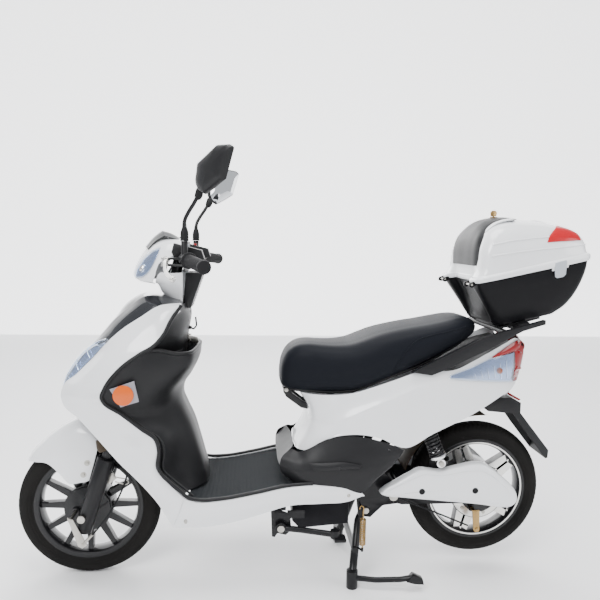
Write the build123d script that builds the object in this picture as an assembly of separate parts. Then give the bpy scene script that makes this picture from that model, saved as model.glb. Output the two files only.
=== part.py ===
from build123d import *
import os
from math import cos, pi, radians, sin

# Electric moped scooter, in millimetres. +X forward, +Y to the rider's left, +Z up.
# The origin is on the ground, under the middle of the bounding box. The scooter stands on its
# centre stand with the front wheel on the ground and the rear wheel lifted.

# ---- driving dimensions ----
WHEEL_R = 210.0
RIM_R = 152.0
TYRE_HALF = 32.0
RIM_HALF = 26.0
FRONT_AXLE = (607.6, 210.0)
REAR_AXLE = (-577.6, 245.0)
AXLE_R = 6.0
RUNNING = 0.05
SKIN = 3.0

RAKE = 18.0
STEER_X = 380.0
STEER_Z = 830.0
FORK_OFFSET = 14.0
FORK_SPREAD = 80.0
STANCHION_R = 15.0
SLIDER_R = 25.0
STEERER_R = 13.0

SWING_PIVOT = (-300.0, 256.0)
STAND_PIVOT = (-218.0, 212.0)
SIDE_STAND_PIVOT = (39.0, 190.0)
SEAT_PIVOT = (22.0, 566.0)
LID_PIVOT = (-493.4, 896.0)
SHOCK_TOP = (-380.0, 497.0)
SHOCK_EYE = (-430.0, 369.0)
SHOCK_Y = 121.0
BAR_END = (245.0, 325.0, 944.0)
BAR_BEND = (337.0, 92.0, 965.0)
BAR_R = 11.0

# ---- outlines, (x, z) in side view unless a comment says otherwise ----
PANEL = [(322, 834), (381, 828), (433, 796), (486, 760), (519, 731), (566, 716), (604, 692), (690, 610),
         (690, 556), (656, 546), (604, 512), (542, 460), (479, 395), (414, 325), (377, 276), (347, 222),
         (340, 211), (311, 296), (350, 339), (383, 371), (385, 390), (382, 450), (391, 467), (424, 493),
         (479, 540), (530, 584), (528, 600), (482, 660), (429, 698), (393, 721), (371, 750), (350, 789)]
GARNISH = [(322, 834), (381, 828), (433, 796), (486, 760), (519, 731), (566, 716), (604, 692), (620, 760),
           (500, 870), (322, 870)]
NOSE_LAMP = [(519, 731), (566, 716), (604, 692), (663, 606), (661, 592), (618, 628), (561, 685)]
SILL = [(340, 211), (262, 210), (114, 241), (73, 257), (4, 270), (-155, 278), (-192, 300), (-138, 318),
        (-61, 325), (21, 322), (114, 303), (211, 287), (276, 284), (311, 296)]
FLOOR_TOP = [(308, 290), (230, 281), (100, 301), (20, 313), (-50, 317)]
REAR_COVER = [(16, 567), (-27, 517), (-3, 460), (21, 416), (2, 405), (-20, 408), (-71, 447), (-146, 465),
              (-235, 455), (-320, 422), (-395, 461), (-510, 514), (-638, 585), (-690, 600), (-690, 740),
              (-641, 738), (-562, 695), (-447, 641), (-348, 643), (-222, 596), (-167, 577), (-100, 570)]
TAIL_LAMP = [(-430, 627), (-650, 608), (-690, 600), (-690, 740), (-663, 732), (-563, 682)]
TAIL_SPLIT = [(-612, 780), (-600, 660), (-636, 655), (-641, 600), (-700, 560), (-700, 780)]
REAR_TRIM = [(50, 402), (16, 372), (-36, 347), (-192, 302), (-243, 359), (-313, 416), (-320, 422),
             (-235, 455),
             (-146, 465), (-71, 447), (-20, 408), (2, 405), (21, 416)]
SEAT_TOP = [(44, 620), (36, 657), (-4, 716), (-70, 711), (-129, 711), (-199, 726), (-293, 757), (-395, 775),
            (-484, 793), (-526, 794), (-541, 770), (-529, 746)]
SEAT_BOTTOM = [(-349, 656), (-277, 630), (-222, 605), (-169, 584), (-103, 577), (-5, 580), (31, 588)]
FENDER = [(778, 366), (758, 394), (714, 443), (666, 468), (623, 478), (566, 432), (571, 395), (595, 307),
          (647, 298), (677, 326), (716, 356), (757, 357)]
COWL = [(471, 908), (456, 952), (427, 993), (384, 1010), (318, 1007), (318, 918), (326, 826), (389, 856),
        (408, 887), (457, 890)]
HEADLIGHT = [(480, 911), (440, 962), (382, 989), (416, 913), (456, 896)]
COLUMN = [(317.5, 915), (268, 915), (304, 812), (320, 816), (325, 826)]
BOX_BASE = [(-507, 908), (-513, 884), (-580, 776), (-596, 771), (-717, 803), (-763, 815), (-799, 835),
            (-827, 898), (-832, 985)]
BOX_LID = [(-509, 909), (-522, 940), (-522, 1000), (-553, 1050), (-587, 1072), (-629, 1078), (-722, 1083),
           (-758, 1072), (-822, 1044), (-830, 1022), (-838, 990), (-832, 986)]
BASE_SIDES = [(114, 760), (133, 850), (155, 940), (159, 1000)]
LID_SIDES = [(160, 880), (160, 1000), (147, 1040), (117, 1062), (75, 1078), (31, 1086)]
LOCK_X = -606.0
LATCH_Y = 164.5
MOTOR_COVER = [(-253, 283), (-371, 351), (-424, 343), (-539, 365), (-575, 357), (-645, 302), (-670, 265),
               (-667, 242), (-631, 227), (-572, 235), (-295, 268), (-260, 273)]
TAIL_GUARD = [(-668, 545), (-700, 528), (-700, 496), (-797, 376), (-795, 352), (-788, 350), (-716, 440),
              (-676, 494), (-597, 502), (-584, 512), (-600, 540)]

# hull stations: x, then the half outline from the top centre down, as (y, z)
HULL = [(255, [(0, 836), (60, 836), (126, 828), (160, 700), (176, 560), (172, 190)]),
        (322, [(0, 836), (60, 836), (126, 828), (160, 700), (176, 560), (172, 190)]),
        (390, [(0, 852), (60, 850), (124, 822), (176, 700), (190, 590), (176, 190)]),
        (455, [(0, 848), (60, 840), (122, 784), (180, 690), (197, 600), (184, 300)]),
        (525, [(0, 778), (60, 770), (118, 727), (168, 665), (194, 594), (168, 430)]),
        (600, [(0, 700), (58, 694), (90, 672), (120, 640), (143, 590), (130, 480)]),
        (650, [(0, 634), (46, 630), (70, 616), (92, 600), (102, 580), (96, 500)]),
        (668, [(0, 602), (34, 600), (54, 596), (68, 588), (74, 575), (70, 520)])]


# ---- shape helpers ----
def prism(points, low, high, axis):
    """Straight prism on a closed outline of 3-D points lying at low along axis."""
    return extrude(make_face(Polyline(*points, close=True)), high - low, dir=axis)


def side_prism(outline, low, high):
    """Prism with an (x, z) outline from y = low to y = high."""
    return prism([(x, low, z) for x, z in outline], low, high, (0, 1, 0))


def plan_prism(outline, low, high):
    """Prism with an (x, y) outline from z = low to z = high."""
    return prism([(x, y, low) for x, y in outline], low, high, (0, 0, 1))


def front_prism(outline, low, high):
    """Prism with a (y, z) outline from x = low to x = high."""
    return prism([(low, y, z) for y, z in outline], low, high, (1, 0, 0))


def both_sides(shape):
    """The shape and its mirror image on the other side of the scooter."""
    return Compound(children=[shape, mirror(shape, Plane.XZ)])


def plan_mirror(half):
    """Full (x, y) outline from the half with y >= 0."""
    return half + [(x, -y) for x, y in reversed(half) if y > 0]


def front_mirror(half):
    """Full (y, z) outline from the half with y >= 0."""
    return half + [(-y, z) for y, z in reversed(half) if y > 0]


def inset(outline, wall):
    """The outline with every edge moved inwards by wall."""
    area = sum(a[0] * b[1] - b[0] * a[1] for a, b in zip(outline, outline[1:] + outline[:1]))
    turn = 1 if area > 0 else -1
    moved = []
    for before, at, after in zip(outline[-1:] + outline[:-1], outline, outline[1:] + outline[:1]):
        first = (Vector(*at) - Vector(*before)).normalized()
        second = (Vector(*after) - Vector(*at)).normalized()
        inward_1 = Vector(-first.Y, first.X) * turn
        inward_2 = Vector(-second.Y, second.X) * turn
        middle = inward_1 + inward_2
        step = middle * (2 * wall / middle.dot(middle))
        moved.append((at[0] + step.X, at[1] + step.Y))
    return moved


def rod(start, end, radius):
    """Round bar between two points."""
    axis = Vector(*end) - Vector(*start)
    return extrude(Plane(origin=start, z_dir=axis) * Circle(radius), axis.length)


def pipe(start, end, radius, bore):
    """Tube between two points."""
    return rod(start, end, radius) - rod(start, end, bore)


def cross_rod(x, z, radius, low, high):
    """Round bar along Y."""
    return rod((x, low, z), (x, high, z), radius)


def cross_pipe(x, z, radius, bore, low, high):
    """Tube along Y."""
    return cross_rod(x, z, radius, low, high) - cross_rod(x, z, bore, low, high)


def bent_rod(points, radius, bend):
    """Round bar along a filleted route."""
    path = FilletPolyline(*points, radius=bend)
    start = Plane(origin=points[0], z_dir=Vector(*points[1]) - Vector(*points[0]))
    return sweep(start * Circle(radius), path=path)


def spin(profile, centre):
    """Ring around a Y axis through centre, from a closed (radius, y) profile edge builder."""
    axis = Axis((centre[0], 0, centre[1]), (0, 1, 0))
    return revolve(make_face(profile), axis, 360)


def ring_profile(points, centre):
    """Closed straight-sided (radius, y) profile beside the axis of a wheel."""
    return Polyline(*[(centre[0] + r, y, centre[1]) for r, y in points], close=True)


def around(shape, centre, angle):
    """The shape turned about the Y axis through centre."""
    return shape.rotate(Axis((centre[0], 0, centre[1]), (0, 1, 0)), angle)


def station_loft(stations):
    """Straight-sided body through cross sections at several x."""
    faces = []
    for x, half in stations:
        outline = half + [(0, half[-1][1])]
        points = [(x, y, z) for y, z in front_mirror(outline)]
        faces.append(make_face(Polyline(*points, close=True)))
    return loft(faces, ruled=True)


def level_loft(levels):
    """Straight-sided body through full (x, y) outlines at several z."""
    faces = [make_face(Polyline(*[(x, y, z) for x, y in outline], close=True)) for z, outline in levels]
    return loft(faces, ruled=True)


def at_fork(n, y, s):
    """Point given by its distance ahead of the steering axis, its y, and its place up the axis."""
    c, k = cos(radians(RAKE)), sin(radians(RAKE))
    return (STEER_X + n * c - s * k, y, STEER_Z + n * k + s * c)


def along_bar(distance, side=1):
    """Point on the swept-back end of the handlebar, measured outwards from its bend."""
    a, b = Vector(*BAR_BEND), Vector(*BAR_END)
    p = a + (b - a).normalized() * distance
    return (p.X, p.Y * side, p.Z)




# ---- front hull ----
def hull_skin():
    """Thin skin of the front hull, open at the back and underneath."""
    inner = []
    for x, half in HULL:
        top = [(max(y - SKIN, 0), z - SKIN) for y, z in half[:3]]
        side = [(y - SKIN, z - SKIN) for y, z in half[3:-1]]
        inner.append((x, top + side + [(half[-1][0] - SKIN, half[-1][1] - 30)]))
    inner[0] = (inner[0][0] - 20, inner[0][1])
    inner[-1] = (inner[-1][0] - SKIN, inner[-1][1])
    column_hole = rod(at_fork(0, 0, -60), at_fork(0, 0, 80), 95)
    return station_loft(HULL) - station_loft(inner) - column_hole


def front_body():
    """Front panels, centre garnish and nose lamps, all cut from one hull skin."""
    skin = hull_skin()
    lamp = side_prism(NOSE_LAMP, 50, 220)
    left = (skin & side_prism(PANEL, 0, 220)) - lamp
    lamp_left = skin & lamp
    return {"front_panels": pair(left), "front_garnish": skin & side_prism(GARNISH, -220, 220),
            "front_lamps": pair(lamp_left)}


def thin_level(points, depth):
    """Full (x, y) outline of a bent sheet whose rear face follows points and is depth thick."""
    rear = [(x, -y) for x, y in reversed(points) if y > 0] + points
    return rear + [(x + depth, y) for x, y in reversed(rear)]


def leg_shield():
    """Black inner shield: flared tunnel below and the wall behind the glove pocket above."""
    ledge = [(331, 0), (331, 55), (365, 100), (420, 156), (517, 182)]
    low = level_loft([(292, thin_level([(256, 0), (256, 48), (286, 80), (303, 130), (316, 170)], 5)),
                      (360, thin_level([(264, 0), (264, 48), (310, 85), (345, 130), (374, 171)], 5)),
                      (455, thin_level([(292, 0), (292, 48), (335, 88), (356, 130), (377, 173)], 5)),
                      (588, thin_level(ledge, 5))])
    high = level_loft([(584, thin_level([(372, 0), (372, 60), (378, 110), (430, 150), (518, 182)], 5)),
                       (697, thin_level([(362, 0), (362, 60), (363, 110), (377, 148), (418, 170)], 5)),
                       (792, thin_level([(344, 0), (344, 60), (344, 90), (344, 110), (345, 128)], 5))])
    wall = [(x, -y) for x, y in reversed(ledge) if y > 0] + ledge
    back = [(518, 182), (430, 150), (378, 110), (375, 0), (378, -110), (430, -150), (518, -182)]
    step = plan_prism(wall + back, 584, 588)
    return low + high + step


def glove_pocket():
    """Open-topped bucket behind the shield."""
    low = [(331, 0), (331, 60), (348, 108), (364, 126), (364, 0)]
    high = [(280, 0), (284, 60), (300, 114), (356, 146), (357, 0)]
    outer = level_loft([(588.5, plan_mirror(low[:-1])), (697, plan_mirror(high[:-1]))])
    inner = level_loft([(592, inset(plan_mirror(low[:-1]), SKIN)),
                        (700, inset(plan_mirror(high[:-1]), SKIN))])
    return outer - inner


def shield_neck():
    """Raised column cover that carries the ignition lock and the bag hook."""
    outline = [(306, 796), (319, 748), (321, 701), (358, 701), (342, 790), (341, 796)]
    return side_prism(outline, -42, 42) - side_prism(inset(outline, SKIN), -39, 39) - lock_bore()


def lock_bore():
    return rod((312, 0, 718), (360, 0, 730), 9)


def ignition_lock():
    barrel = rod((312, 0, 718), (356, 0, 729),
                 9) & side_prism([(300, 700), (300, 740), (353, 740), (353, 700)], -9, 9)
    face = Vector(48, 0, 12).normalized()
    collar = rod((316, 0, 719), tuple(Vector(316, 0, 719) - face * 7), 13) - rod((330, 0, 722),
                                                                                 (300, 0, 715), 9)
    return (barrel + collar) - rod((330, 0, 722.5), (300, 0, 715), 3)


def ignition_key():
    """Key blade in the lock and its moulded head outside."""
    blade = rod((328, 0, 722), (304, 0, 716), 2.9)
    head = side_prism([(306, 724), (308, 708), (290, 700), (284, 706), (288, 720)], -2.5, 2.5)
    return blade + head


def bag_hook():
    """Folding hook on the column, hung from a cross pin."""
    arm = bent_rod([(309, 0, 749), (300, 0, 744), (291, 0, 755), (294, 0, 781)], 2.5, [4, 8])
    return arm + cross_rod(309, 749, 4.5, -6.8, 6.8)


def hook_bracket():
    plate = side_prism([(318, 762), (318, 736), (315.5, 748), (312.5, 762)], -14, 14)
    ears = side_prism([(316, 756), (316, 742), (303, 742), (303, 756)], 7.2, 11)
    body = plate + ears + mirror(ears, Plane.XZ)
    body -= side_prism([(321, 701), (319, 748), (306, 796), (380, 796), (380, 701)], -20, 20)
    return body - cross_rod(309, 749, 5, -7.2, 7.2)


def side_reflectors():
    disc = cross_rod(466, 596, 27, 203, 209)
    return both_sides(disc)


def reflector_plates():
    plate = side_prism([(502, 612), (438, 634), (426, 578), (474, 563)], 200, 203)
    stalk = side_prism([(475, 610), (455, 610), (455, 585), (475, 585)], 176, 200) - hull_solid()
    arm = (plate + stalk).solids().sort_by(SortBy.VOLUME)[-1]
    return both_sides(arm)


def hull_solid():
    return station_loft(HULL)


def splash_guard():
    """Curved guard behind the front wheel."""
    centre = (600, 234)
    band = cross_pipe(centre[0], centre[1], 244, 240, -75, 75)
    wedge = [(600 + 400 * cos(radians(a)), 234 + 400 * sin(radians(a))) for a in (150, 172, 194, 206)]
    return band & side_prism([centre] + wedge, -75, 75)


# ---- floor ----
def floorboard():
    under = [(x, z - 7) for x, z in reversed(FLOOR_TOP)]
    body = side_prism([(x, z - 2) for x, z in FLOOR_TOP] + [(x, z - 3) for x, z in under], -168, 168)
    return body - tunnel_cut()


def floor_mat():
    """Ribbed rubber mat on the floorboard."""
    low = [(x, z - 2) for x, z in FLOOR_TOP]
    mat = side_prism(low + [(x, z + 3) for x, z in reversed(FLOOR_TOP)], -160, 160)
    grooves = [side_prism([(x, z + 1.5) for x, z in FLOOR_TOP] + [(x, z + 6) for x,
                                                                  z in reversed(FLOOR_TOP)], y, y + 4)
               for y in range(-146, 146, 20)]
    return mat - Compound(children=grooves) - tunnel_cut()


def tunnel_cut():
    """Space that the foot of the leg shield takes out of the floor."""
    return plan_prism([(252, -50), (252, 50), (283, 83), (300, 133), (312, 173), (400, 173),
                       (400, -173), (312, -173),
                       (300, -133), (283, -83)], 250, 360)


def sill_left():
    """White lower side panel, a hollow trough open inwards."""
    body = side_prism(SILL, 150, 176)
    hollow = side_prism(inset(SILL, SKIN), 140, 173)
    corner = plan_prism([(298, 120), (330, 120), (330, 180), (298, 180)], 291.8, 300)
    return body - hollow - floor_space() - corner


def floor_space():
    """Room for the floorboard's edge in the sill."""
    top = [(x, z + 3.5) for x, z in FLOOR_TOP]
    return side_prism(top + [(x, z - 13) for x, z in reversed(FLOOR_TOP)], -168.2, 168.2)


# ---- rear body ----
def rear_skin():
    """Thin skin around the rear body, open above and below."""
    plan = plan_mirror([(26, 0), (23, 66), (-8, 100), (-80, 136), (-146, 150), (-400, 150), (-560, 136),
                        (-640, 112),
                        (-676, 62), (-682, 0)])
    flank = [(176, 280), (176, 300), (170, 370), (152, 412), (151, 560), (146, 640), (112, 780)]
    outline = flank + [(-y, z) for y, z in reversed(flank)]
    wide = plan_mirror([(40, 0), (38, 80), (10, 130), (-60, 168), (-180, 178), (-330, 160), (-400, 150),
                        (-560, 136),
                        (-640, 112), (-676, 62), (-682, 0)])
    upper = plan_prism(plan, 402, 790) + plan_prism(wide, 280, 402)
    inner = plan_prism(inset(plan, SKIN), 402, 790) + plan_prism(inset(wide, SKIN), 280, 402)
    shrunk = [(y - SKIN, z) for y, z in flank]
    inside = inner & front_prism(shrunk + [(-y, z) for y, z in reversed(shrunk)], -720, 60)
    return (upper & front_prism(outline, -720, 60)) - inside


def rear_body():
    """Rear side covers, lower trims and tail lamps, all cut from one skin."""
    skin = rear_skin()
    arm = carrier_arm()
    lamp = skin & side_prism(TAIL_LAMP, 0, 200)
    red_side = side_prism(TAIL_SPLIT, -200, 200)
    cover = (skin & side_prism(REAR_COVER, 0, 200)) - side_prism(TAIL_LAMP, -200,
                                                                 200) - arm - tail_guard_space()
    trim = (skin & side_prism(REAR_TRIM, 0, 200)) - side_prism(SILL, 140, 200)
    cover = cover.solids().sort_by(SortBy.VOLUME)[-1]
    trim = trim.solids().sort_by(SortBy.VOLUME)[-1]
    signal = (lamp - red_side).solids().sort_by(SortBy.VOLUME)[-1]
    red = skin & side_prism(TAIL_LAMP, -200, 200) & red_side
    return {"rear_covers": pair(cover), "rear_trims": pair(trim), "tail_lamp": group(pair(signal), red)}


def carrier_arm():
    """Left side arm of the luggage carrier and grab rail."""
    outline = [(-328, 645), (-384, 637), (-417, 650), (-540, 708), (-646, 765), (-712, 785), (-712, 797),
               (-640, 777), (-526, 744), (-361, 661)]
    return side_prism(outline, 138, 156)


def luggage_carrier():
    arm = carrier_arm() - box_body(BOX_BASE, BASE_SIDES)
    deck = side_prism([(-597, 771), (-716, 802.4), (-716, 796), (-597, 764.6)], -110, 110)
    rail = cross_rod(-640, 770, 8, -139, 139) + cross_rod(-600, 760, 8, -139, 139)
    slots = [plan_prism([(-705, y - 8), (-615, y - 8), (-615, y + 8), (-705, y + 8)], 730, 820)
             for y in (-90, -55, 55, 90)]
    ties = side_prism([(-640, 781), (-672, 789), (-672, 772), (-640, 762)], 108, 140)
    deck = deck + ties + mirror(ties, Plane.XZ)
    return arm + mirror(arm, Plane.XZ) + deck + rail - Compound(children=slots)


def tail_guard_space():
    return side_prism(TAIL_GUARD, -56, 56)


def rear_mudguard():
    """Tail guard with the number plate holder, hollow from below."""
    body = side_prism(TAIL_GUARD, -55, 55)
    slab = [(-668, 540), (-696, 525), (-696, 500), (-792, 381), (-786, 352), (-712, 440), (-674, 494)]
    return body - side_prism(slab, -51, 51) + side_prism([(-668, 545), (-700, 528), (-700, 520),
                                                          (-668, 536)], -52, 52)


def rear_reflector():
    return side_prism([(-669, 546.5), (-701, 529.5), (-707, 534), (-672, 553)], -38, 38)


def inner_fender():
    """Arched liner over the front and top of the rear wheel."""
    reach = 246
    band = cross_pipe(REAR_AXLE[0], REAR_AXLE[1], reach + 3, reach, -62, 62)
    wedge = [(REAR_AXLE[0] + 420 * cos(radians(a)), REAR_AXLE[1] + 420 * sin(radians(a))) for a in (18,
                                                                                                    45,
                                                                                                    70, 92)]
    return band & side_prism([REAR_AXLE] + wedge, -62, 62)


# ---- frame ----
def main_frame():
    """Welded steel frame: head tube, down tube, floor rails, pivot plates and seat rails."""
    head = rod(at_fork(0, 0, -370), at_fork(0, 0, -190), 24)
    down = rod((469.6, 0, 554.2), (300, 0, 258), 20)
    front_cross = cross_rod(292, 258, 15, -86, 86)
    frame = head + down + front_cross
    for side in (-1, 1):
        y = 72 * side
        rail = bent_rod([(292, y, 258), (-200, y, 258), (-262, y, 400), (-420, y, 560), (-640, y, 640)],
                        13, [40, 60, 80])
        plate_low, plate_high = sorted((84.5 * side, 92 * side))
        plate = side_prism([(-186, 272), (-196, 196), (-232, 190), (-270, 226), (-318, 232), (-322, 280),
                            (-262, 334), (-222, 330)], plate_low, plate_high)
        tab_low, tab_high = sorted((82 * side, 90 * side))
        shock_tab = side_prism([(-360, 530), (-404, 530), (-396, 485), (-366, 485)], tab_low, tab_high)
        frame = frame + rail + plate + shock_tab + seat_lug(side)
    for x, z in ((-212, 304), (-330, 468), (-600, 626)):
        frame += cross_rod(x, z, 10, -86, 86)
    frame += cross_rod(-245, 262, 9, -86, 86)
    frame += cross_rod(SHOCK_TOP[0], SHOCK_TOP[1] + 22, 9, -86, 86)
    frame += side_prism([(-92, 300), (-206, 300), (-206, 296), (-92, 296)], -70, 70)
    frame += seat_post() + side_stand_bracket() + spring_post()
    frame -= rod(at_fork(0, 0, -380), at_fork(0, 0, -180), 18)
    frame -= cross_rod(*SWING_PIVOT, 8, -100, 100)
    frame -= cross_rod(*STAND_PIVOT, 5, -100, 100)
    frame -= cross_rod(*SHOCK_TOP, 5, -100, 100)
    frame -= cross_rod(*SEAT_PIVOT, 4, -60, 60)
    frame -= cross_rod(*SIDE_STAND_PIVOT, 6, 120, 160)
    return frame


def seat_lug(side):
    """Fixed ear of the seat's front hinge."""
    low, high = sorted((24 * side, 30 * side))
    line = [(31, 574), (13, 574), (4, 556), (-30, 530), (-66, 520), (-66, 502), (-24, 510), (22, 544), (31, 560)]
    return side_prism(line, low, high)


def seat_post():
    """Upright and cross bar that hold the seat's front hinge above the floor rails."""
    bar = side_prism([(-58, 526), (-72, 526), (-72, 502), (-58, 502)], -71, 71)
    leg = side_prism([(-58, 510), (-72, 510), (-72, 262), (-58, 262)], 59, 71)
    return bar + leg + mirror(leg, Plane.XZ)


def head_bearings():
    low = pipe(at_fork(0, 0, -370), at_fork(0, 0, -356), 18, STEERER_R)
    high = pipe(at_fork(0, 0, -204), at_fork(0, 0, -190), 18, STEERER_R)
    return Compound(children=[low, high])


def battery_box():
    """Open-topped tray hung under the floor."""
    outline = [(2, 242), (-168, 242), (-168, 168), (-20, 156), (2, 180)]
    hollow = [(-3, 250), (-163, 250), (-163, 173), (-22, 161), (-3, 183)]
    return side_prism(outline, -84, 84) - side_prism(hollow, -80, 80)


def battery_pack():
    low = side_prism([(-4, 240), (-162, 240), (-162, 174.5), (-22, 162.5), (-4, 184)], -79, 79)
    return low + side_prism([(-4, 262), (-162, 262), (-162, 230), (-4, 230)], -53, 53)


def motor_controller():
    """Finned aluminium controller on its tray above the floor rails."""
    body = side_prism([(-98, 344), (-190, 344), (-190, 300), (-98, 300)], -38, 38)
    grooves = [side_prism([(-90, 332), (-196, 332), (-196, 350), (-90, 350)], y,
                          y + 4) for y in range(-34, 34, 9)]
    return body - Compound(children=grooves)


def seat_hinge_pin():
    pin = cross_rod(*SEAT_PIVOT, 4, -34, 34)
    return pin + cross_rod(*SEAT_PIVOT, 6, -36, -30.2) + cross_rod(*SEAT_PIVOT, 6, 30.2, 36)


# ---- seat ----
SEAT_PLAN = [(44, 0), (40, 52), (8, 88), (-60, 106), (-160, 124), (-260, 134), (-400, 134), (-480, 112),
             (-530, 76),
             (-541, 40), (-541, 0)]


def seat_cushion():
    body = side_prism(SEAT_TOP + SEAT_BOTTOM, -140, 140) & plan_prism(plan_mirror(SEAT_PLAN), 560, 800)
    hips = front_mirror([(134, 560), (134, 735), (118, 772), (86, 800)])
    return body & front_prism(hips, -560, 60)


def seat_base():
    """Moulded pan under the cushion with the moving hinge leaf."""
    top = list(reversed(SEAT_BOTTOM)) + [(-519, 740)]
    under = [(x + 1, z - 7) for x, z in reversed(top)]
    pan = side_prism(top + under, -140, 140) & plan_prism(inset(plan_mirror(SEAT_PLAN), 14), 540, 800)
    x, z = SEAT_PIVOT
    knuckle = cross_rod(x, z, 8, -23.5, 23.5)
    leaf = side_prism([(x - 5, z + 4), (x - 24, 575), (x, 582), (x + 5, z + 4)], -23.5, 23.5)
    return pan + knuckle + leaf - cross_rod(x, z, 4 + RUNNING, -30, 30)


# ---- top box ----
def box_body(outline, half):
    return side_prism(outline, -206, 206) & front_prism(front_mirror(half), -860, -450)


def box_notch(grow):
    """Hollow in the front of the box that the tail of the seat swings up through."""
    front = [(-591 - grow, 768 - grow), (-539 - grow, 884), (-532 - grow, 914), (-440, 914),
             (-440, 700), (-591, 700)]
    return side_prism(front, -78 - grow, 78 + grow)


def box_base():
    outer = box_body(BOX_BASE, BASE_SIDES) - box_notch(0)
    hollow_line = [(-505, 930), (-512, 890), (-578, 780), (-597, 774.5), (-716, 806), (-762, 818),
                   (-796, 838), (-824, 898), (-829, 1010)]
    inner = side_prism(inset(hollow_line, 0.5), -202, 202)
    walls = front_mirror([(y - SKIN, z) for y, z in BASE_SIDES])
    inner = inner & front_prism(walls, -850, -510)
    inner -= box_notch(SKIN)
    ear_line = [(-511, 890), (-487.5, 888), (-486, 900), (-495.5, 905), (-511, 903)]
    ears = side_prism(ear_line, 91, 101) + side_prism(ear_line, 134, 144)
    body = (outer - inner) + ears + mirror(ears, Plane.XZ)
    return body - cross_rod(*LID_PIVOT, 3, -190, 190)


def lid_walls():
    outer = box_body(BOX_LID, LID_SIDES) - lid_notch(0)
    hollow = [(-526, 900), (-526, 998), (-555.5, 1047), (-588, 1069), (-629, 1075), (-721, 1080),
              (-756.5, 1069), (-818.5, 1042), (-826.5, 1021.5), (-834.5, 990), (-829, 940)]
    inner = side_prism(hollow, -202, 202)
    inner = inner & front_prism(front_mirror([(y - SKIN, z - SKIN) for y, z in LID_SIDES]), -860, -500)
    return outer - (inner - lid_notch(SKIN))


def lid_notch(grow):
    front = [(-526 - grow, 880), (-518 - grow, 945 + grow), (-470, 945 + grow), (-470, 880)]
    return side_prism(front, -78 - grow, 78 + grow)


def box_lid():
    """Hinged lid with its front knuckles."""
    x, z = LID_PIVOT
    ear = cross_rod(x, z, 6.5, 102, 133)
    ear += side_prism([(x - 4, 891), (x - 4, 904), (x - 16, 926), (x - 31, 931), (x - 31, 916), (x - 15, 911.5),
                       (x - 8, 901)], 102, 133)
    ear += latch_lugs()
    walls = lid_walls() - reflector_patch()
    return walls + ear + mirror(ear, Plane.XZ) - cross_rod(x, z, 3 + RUNNING, -190, 190) - lock_hole()


def latch_lugs():
    """Two lugs and the pin that the left latch turns on."""
    lugs = side_prism([(-727, 974), (-722, 973), (-722, 965), (-727, 966)], LATCH_Y - 4.7, LATCH_Y + 3.5)
    lugs += side_prism([(-759, 981.5), (-764, 982.5), (-764, 974), (-759, 973)], LATCH_Y - 4.7, LATCH_Y + 3.5)
    return lugs + rod((-724, LATCH_Y, 969.6), (-762, LATCH_Y, 977.7), 1.5)


def reflector_patch():
    outline = [(-757, 1069), (-803, 1045), (-808, 1027), (-706, 1019), (-722, 1038)]
    patch = side_prism(outline, 80, 220)
    return patch + mirror(patch, Plane.XZ)


def box_reflectors():
    return lid_walls() & reflector_patch()


def lid_hinge_pins():
    pin = cross_rod(*LID_PIVOT, 3, 90, 145)
    return both_sides(pin)


def lid_pad():
    """Soft back pad on the front of the lid."""
    outline = [(-521.5, 952), (-509, 1000), (-543, 1060), (-584, 1084), (-626, 1088.5), (-626, 1078.5),
               (-587, 1072.5), (-552, 1050.5), (-521.5, 1000)]
    solid = side_prism(outline, -108, 108)
    roof = front_mirror([(112, 900), (112, 1068), (75, 1083), (31, 1091), (0, 1096)])
    solid = solid & front_prism(roof, -650, -480)
    return solid - box_body(BOX_LID, LID_SIDES) - rod((LOCK_X, 0, 1060), (LOCK_X, 0, 1110), 13.5)


def lock_hole():
    return rod((LOCK_X, 0, 1060), (LOCK_X, 0, 1110), 9)


def box_lock():
    body = rod((LOCK_X, 0, 1062), (LOCK_X, 0, 1090), 9) + rod((LOCK_X, 0, 1088), (LOCK_X, 0, 1094), 13)
    return body - rod((LOCK_X, 0, 1070), (LOCK_X, 0, 1100), 3)


def box_key():
    blade = rod((LOCK_X, 0, 1074), (LOCK_X, 0, 1098), 2.9)
    bow = [(-8, 1096), (8, 1096), (10, 1107), (5, 1113), (-5, 1113), (-10, 1107)]
    return blade + side_prism([(LOCK_X + x, z) for x, z in bow], -2.5, 2.5)


def latch(side):
    """Toggle latch on the lid's side that hooks over the rim of the base."""
    plate = side_prism([(-728, 966), (-758, 972), (-758, 926), (-728, 920)], LATCH_Y - 3, LATCH_Y + 1.5)
    barrel = rod((-728.5, LATCH_Y, 970.56), (-757.7, LATCH_Y, 976.78), 3.5)
    body = plate + barrel - rod((-722, LATCH_Y, 969.17), (-764, LATCH_Y, 978.13), 1.6)
    return body if side > 0 else mirror(body, Plane.XZ)


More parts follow.
